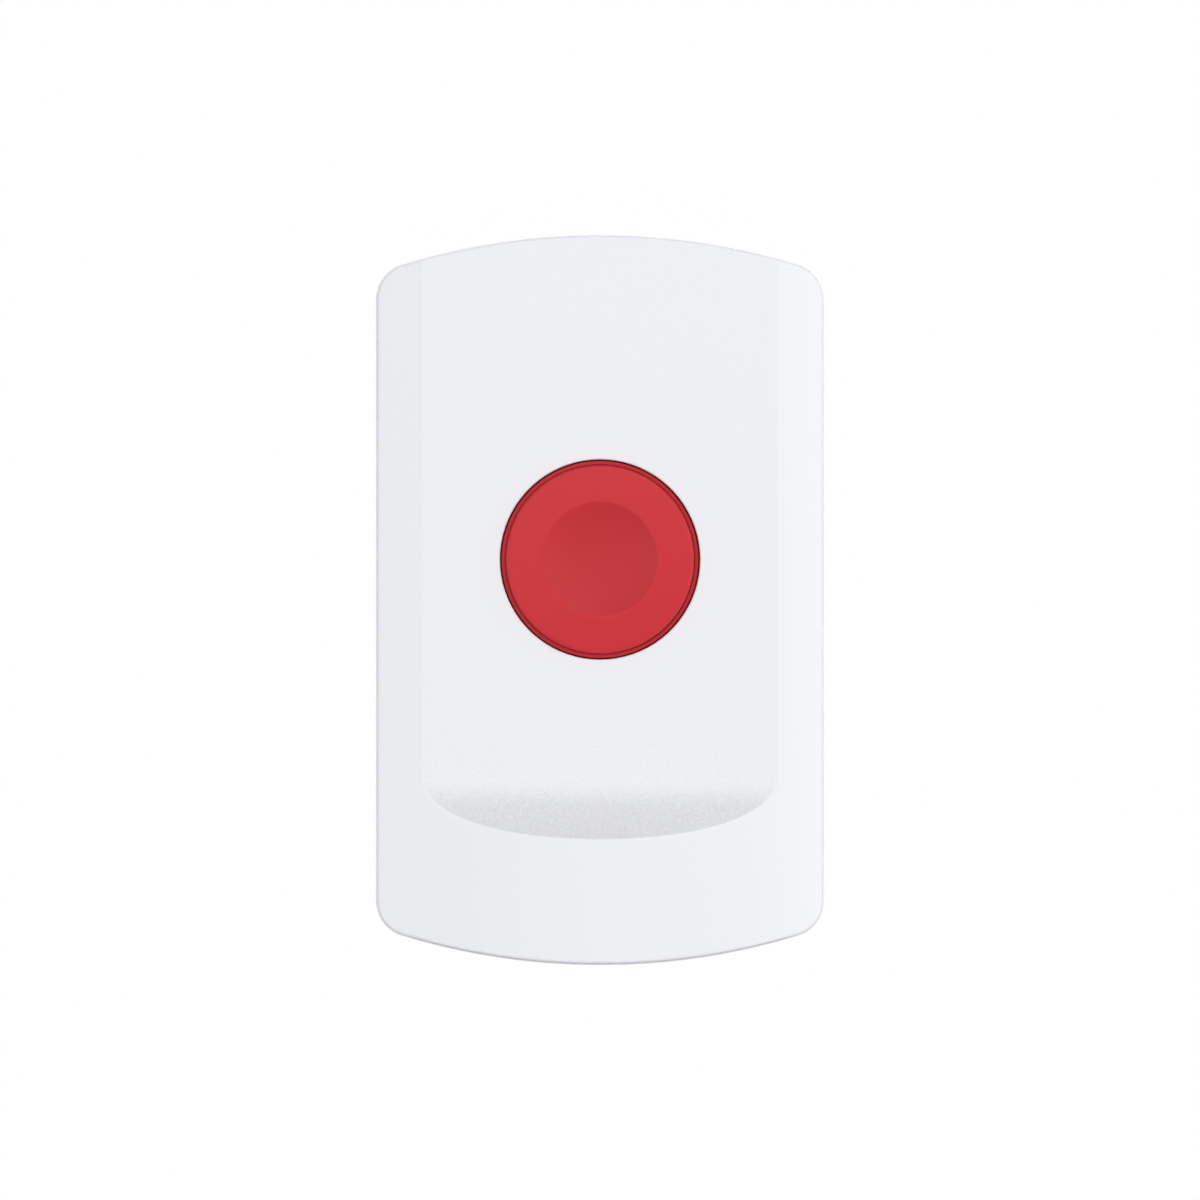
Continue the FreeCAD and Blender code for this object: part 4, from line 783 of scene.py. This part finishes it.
class CHIPS_OT_build(bpy.types.Operator):
    """Radio chip, crystal and small chip components, with their pads and solder"""

    bl_idname = "panic_button.chips"
    bl_label = "Board components"

    def execute(self, context):
        solder = [*self.radio_chip(context.scene.board_settings.chip_pads), *self.small_chips()]
        self.crystal()
        middle, half = node_box("switch_terminals")
        leg = 0.6 * MM
        for side in (-1, 1):
            for row in (-1.9 * MM, 1.9 * MM):
                start = (middle[0] + side * half[0], -BOARD_FRONT, middle[2] + row - leg / 2)
                solder.append(solder_bank(start, (0, 0, leg), (side * 0.4 * MM, 0, 0), 0.18 * MM))
        middle, half = node_box("positive_contact")
        for side in (-1, 1):
            start = (middle[0] + side * half[0], -BOARD_BACK, middle[2] - half[2])
            solder.append(solder_bank(start, (0, 0, 2 * half[2]), (side * 0.5 * MM, 0, 0), -0.18 * MM))
        middle, half = node_box("antenna_coil")
        turn = np.linspace(0, math.pi / 2, 9)
        rise, reach = 0.7 * (1 - np.cos(turn)), 0.9 - 0.6 * np.sin(turn)
        cone = np.stack([BOARD_FRONT + rise * MM, reach * MM], axis=-1)
        solder.append(closed_skin(turned(cone, full_turn(32), middle[0] - half[0] + 0.3 * MM, middle[2])))
        tin = brushed_metal("solder_tin", (0.68, 0.68, 0.67), 0.28, (5000, 5000, 5000))
        new_piece("solder", solder, tin)
        return {"FINISHED"}

    def radio_chip(self, pads):
        """Block with round edges and a dimple at its first pad. Returns the skins of its pads."""
        middle, half = node_box("radio_chip")
        material, make, place = new_material("chip_black", 0.5)
        grain = make.shared("moulded grain", place, 9000.0)
        dimple = make.shared("round spot", place, 0.28 * MM, 0.34 * MM, middle[0] - 2.1 * MM,
                             middle[2] + 2.1 * MM)
        make.set("Base Color", make.mix(grain, (0.012, 0.012, 0.014, 1), (0.022, 0.022, 0.024, 1)))
        make.set("Roughness", make.step(dimple, 0.0, 1.0, 0.55, 0.25))
        make.bump(make.math("SUBTRACT", make.times(grain, 0.2), dimple), 5e-5)
        new_piece("radio_block", [rounded_block(middle, half, 0.08 * MM)], material,
                  ("radio_chip",))
        pad = np.array([0.16, 0.06, 0.22]) * MM
        out = half[0] + 0.12 * MM
        depth = -BOARD_FRONT - pad[1]
        skins = []
        for shift in (np.arange(pads) - (pads - 1) / 2) * 0.75 * MM:
            for side in (-1, 1):
                level = (middle[0] + shift, depth, middle[2] + side * out)
                upright = (middle[0] + side * out, depth, middle[2] + shift)
                skins += [rounded_block(level, pad, 0.04 * MM, 3),
                          rounded_block(upright, pad[::-1], 0.04 * MM, 3)]
        return skins

    def small_chips(self):
        """Fired bodies between tinned ends. Returns the skins of the ends and of the solder at them."""
        skins = []
        for node, count, piece, colour in (
            ("capacitors", 5, "chip_capacitors", (0.34, 0.22, 0.12)),
            ("matching_coils", 3, "chip_coils", (0.06, 0.09, 0.2)),
        ):
            middle, half = node_box(node)
            width = 0.4 * MM
            body = np.array([width - 0.03 * MM, half[1] - 0.03 * MM, half[2] - 0.1 * MM])
            end = np.array([width, half[1], 0.17 * MM])
            bodies = []
            for across in middle[0] + np.linspace(-1, 1, count) * (half[0] - width):
                bodies.append(rounded_block((across, middle[1], middle[2]), body, 0.05 * MM))
                for side in (-1, 1):
                    tip = middle[2] + side * half[2]
                    skins.append(rounded_block((across, middle[1], tip - side * end[2]), end, 0.06 * MM))
                    skins.append(solder_bank((across - 0.9 * width, -BOARD_FRONT, tip), (1.8 * width, 0, 0),
                                             (0, 0, side * 0.35 * MM), 0.45 * MM))
            ceramic = plain_moulding(f"{piece}_fired", colour, 0.45, 2e-6, 0.3)
            new_piece(piece, bodies, ceramic, (node,))
        return skins

    def crystal(self):
        """Drawn can on a thin flange."""
        middle, half = node_box("crystal")
        flange = np.array([half[0], 0.12 * MM, half[2]])
        can = half - np.array([0.25, 0.0, 0.25]) * MM
        steel = brushed_metal("crystal_steel", (0.7, 0.7, 0.68), 0.26, (6000, 6000, 900))
        skins = [rounded_block((middle[0], -BOARD_FRONT - flange[1], middle[2]), flange, 0.1 * MM),
                 rounded_block(middle, can, 0.42 * MM, 6)]
        new_piece("crystal_can", skins, steel, ("crystal",))


class RESERVOIR_OT_build(bpy.types.Operator):
    """Upright capacitor: a moulded foot and an aluminium can with a rolled groove and a dark half on top"""

    bl_idname = "panic_button.reservoir"
    bl_label = "Upright capacitor"

    def execute(self, context):
        middle, half = node_box("reservoir_capacitor")
        back, front = depth_span("reservoir_capacitor")
        foot = back + 0.9 * MM
        reach = half[0]
        line = rounded_line((
            (foot - 0.1 * MM, 0.05 * MM, 0),
            (foot - 0.1 * MM, reach - 0.3 * MM, 0.05 * MM),
            (foot + 0.14 * MM, reach - 0.3 * MM, 0.08 * MM),
            (foot + 0.4 * MM, reach, 0.15 * MM),
            (front, reach, 0.35 * MM),
            (front, 0.05 * MM, 0),
        ), 7)
        material, make, place, lines = drawn_metal("can_aluminium", (7000, 600, 7000), 0.24, 0.36)
        x, y, _ = make.parts(place)
        top = make.step(y, -front + 0.25 * MM, -front + 0.1 * MM)
        dark = make.times(top, make.step(x, middle[0] + 0.65 * MM, middle[0] + 0.7 * MM))
        bare = make.mix(lines, (0.68, 0.68, 0.69, 1), (0.8, 0.8, 0.81, 1))
        make.set("Base Color", make.mix(dark, bare, (0.02, 0.02, 0.022, 1)))
        make.set("Metallic", make.rest(dark))
        can = closed_skin(turned(line, full_turn(72), middle[0], middle[2]))
        new_piece("upright_can", [can], material, ("reservoir_capacitor",), 40)
        black = plain_moulding("foot_black", (0.014, 0.014, 0.015), 0.45, 2e-6)
        base = rounded_block((middle[0], -(back + foot) / 2, middle[2]), (reach, (foot - back) / 2, half[2]),
                             0.12 * MM)
        new_piece("can_foot", [base], black)
        return {"FINISHED"}


class ANTENNA_OT_build(bpy.types.Operator):
    """Wound antenna: a helix of coated copper wire whose first end goes down to the board"""

    bl_idname = "panic_button.antenna"
    bl_label = "Antenna"

    def execute(self, context):
        middle, half = node_box("antenna_coil")
        wire, pitch, turns = 0.3 * MM, 1.6 * MM, 6
        radius = half[2] - wire
        axis_depth = depth_span("antenna_coil")[1] - wire - radius
        start = middle[0] - half[0] + wire
        # x = start + pitch * count, round an axis along X. The leg comes straight up to the first point.
        count = np.linspace(0, turns, 80 * turns)
        turn = 2 * math.pi * count
        coil = np.stack([start + pitch * count, -axis_depth - radius * np.cos(turn),
                         middle[2] - radius * np.sin(turn)], axis=-1)
        share = np.linspace(0, 1, 32, endpoint=False)[:, None]
        foot = np.array([start, -BOARD_FRONT, middle[2]])
        path = np.concatenate([foot * (1 - share) + coil[0] * share, coil])
        # The corner between them is smoothed over ten points to each side.
        low, high = 22, 42
        for _ in range(12):
            path[low:high] = (path[low - 1:high - 1] + 2 * path[low:high] + path[low + 1:high + 1]) / 4
        material, make, place, _ = drawn_metal("antenna_copper", (9000, 9000, 9000), 0.22, 0.36)
        tone = make.shared("slow drift", place, 500.0, 0.2)
        make.set("Base Color", make.shade((0.72, 0.55, 0.38), tone))
        new_piece("wound_antenna", [closed_skin(swept(path, wire, 14))], material,
                  ("antenna_coil",), 50)
        return {"FINISHED"}


class SCREWS_OT_build(bpy.types.Operator):
    """Four board screws: pan heads with a cross recess, and threaded shanks"""

    bl_idname = "panic_button.screws"
    bl_label = "Board screws"

    def execute(self, context):
        settings = context.scene.board_settings
        back, front = depth_span("board_screws")
        head, core, crest, pitch = 1.9 * MM, 0.58 * MM, 0.16 * MM, 0.6 * MM
        dome, recess, arm_half, arm_reach = 0.75 * MM, 0.6 * MM, 0.27 * MM, 1.1 * MM
        seat = back + 1.2 * MM
        angles = full_turn(96)

        # Head from behind: depth = back + dome (r / head)^4, and the recess where an arm of the cross is.
        radii = np.linspace(0.02, 1, 30)[:, None] * head
        across = np.abs(radii * np.cos(angles))
        up = np.abs(radii * np.sin(angles))
        arm = np.clip((arm_half - np.minimum(across, up)) / (0.08 * MM), 0, 1)
        reach = np.clip((arm_reach - np.maximum(across, up)) / (0.35 * MM), 0, 1)
        depth = back + dome * (radii / head)**4 + recess * arm * reach
        top = np.stack([radii * np.cos(angles), -depth, radii * np.sin(angles)], axis=-1)
        under = turned(np.array([[seat, head]]), angles)
        # Shank: the thread adds up to its crest to the core, and rises by its pitch with each turn.
        rows = np.linspace(seat, front - 0.5 * MM, 84)[:, None]
        phase = (rows / pitch - angles / (2 * math.pi)) % 1
        thread = core + crest * np.clip(1 - np.abs(phase - 0.5) / 0.32, 0, 1)
        shank = turned(np.concatenate([rows, rows], axis=1), angles, reach=thread)
        tip = turned(np.array([[front - 0.25 * MM, 0.4 * MM], [front, 0.12 * MM]]), angles)
        grid = np.concatenate([top, under, shank, tip])
        skins = [closed_skin(grid + np.array([column * settings.screw_across, 0, row * settings.screw_up]))
                 for column, row in CORNERS]
        steel = brushed_metal("screw_zinc", (0.52, 0.53, 0.56), 0.3, (5000, 5000, 5000))
        new_piece("pan_screws", skins, steel, ("board_screws",), 35)
        return {"FINISHED"}


class BATTERY_OT_build(bpy.types.Operator):
    """Coin cell with a rolled rim and a sealing ring, its holder and its sprung strips"""

    bl_idname = "panic_button.battery"
    bl_label = "Battery"

    def execute(self, context):
        middle, half = node_box("coin_cell")
        back, front = depth_span("coin_cell")
        radius = half[0]
        lid = radius - 1.3 * MM
        line = rounded_line((
            (front, 0.05 * MM, 0),
            (front, lid, 0.12 * MM),
            (front - 0.3 * MM, lid + 0.05 * MM, 0.05 * MM),
            (front - 0.38 * MM, lid + 0.35 * MM, 0.05 * MM),
            (front - 0.25 * MM, lid + 0.5 * MM, 0.1 * MM),
            (front - 0.25 * MM, radius, 0.35 * MM),
            (back, radius, 0.3 * MM),
            (back, 0.05 * MM, 0),
        ), 7)
        material, make, place, lines = drawn_metal("cell_nickel", (700, 9000, 12000), 0.2, 0.32)
        outer, inner = (make.shared("round spot", place, reach, reach + 0.05 * MM, 0.0, middle[2])
                        for reach in (lid + 0.4 * MM, lid + 0.01 * MM))
        forward = make.step(make.parts(place)[1], -front + 0.5 * MM, -front + 0.45 * MM)
        seal = make.times(make.math("SUBTRACT", outer, inner), forward)
        bare = make.mix(lines, (0.58, 0.57, 0.55, 1), (0.7, 0.69, 0.67, 1))
        make.set("Base Color", make.mix(seal, bare, (0.02, 0.02, 0.02, 1)))
        make.set("Metallic", make.rest(seal))
        make.bump(lines, 1.5e-6)
        cell = closed_skin(turned(line, full_turn(144), middle[0], middle[2]))
        new_piece("sealed_cell", [cell], material, ("coin_cell",))
        give(plain_moulding("holder_black", (0.014, 0.014, 0.015), 0.45, 3e-6), "battery_holder")
        strip = brushed_metal("strip_nickel", (0.66, 0.63, 0.57), 0.25, (600, 9000, 12000))
        give(strip, "positive_contact", "negative_contact")
        return {"FINISHED"}


OPERATORS = (
    STAGE_OT_build,
    COVER_OT_finish,
    PLATE_OT_finish,
    CAP_OT_build,
    SPRING_OT_build,
    SWITCH_OT_finish,
    BOARD_OT_finish,
    CHIPS_OT_build,
    RESERVOIR_OT_build,
    ANTENNA_OT_build,
    SCREWS_OT_build,
    BATTERY_OT_build,
)
SETTINGS = {
    "cover_settings": CoverSettings,
    "cap_settings": CapSettings,
    "board_settings": BoardSettings,
    "stage_settings": StageSettings,
}


class VIEW3D_PT_panic_button(bpy.types.Panel):
    """Sizes, colours and makers of the wall button's pieces"""

    bl_idname = "VIEW3D_PT_panic_button"
    bl_label = "Wall panic button"
    bl_space_type = "VIEW_3D"
    bl_region_type = "UI"
    bl_category = "Panic button"

    def draw(self, context):
        layout = self.layout
        for name, group in SETTINGS.items():
            box = layout.box()
            for key in group.__annotations__:
                box.prop(getattr(context.scene, name), key)
        for operator in OPERATORS:
            layout.operator(operator.bl_idname)


def register():
    for item in (*SETTINGS.values(), *OPERATORS, VIEW3D_PT_panic_button):
        bpy.utils.register_class(item)
    for name, group in SETTINGS.items():
        setattr(bpy.types.Scene, name, bpy.props.PointerProperty(type=group))


def unregister():
    for name in SETTINGS:
        delattr(bpy.types.Scene, name)
    for item in (VIEW3D_PT_panic_button, *reversed(OPERATORS), *reversed(SETTINGS.values())):
        bpy.utils.unregister_class(item)


def main():
    register()
    for operator in OPERATORS:
        getattr(bpy.ops.panic_button, operator.bl_idname.split(".")[1])()


if __name__ == "__main__":
    main()
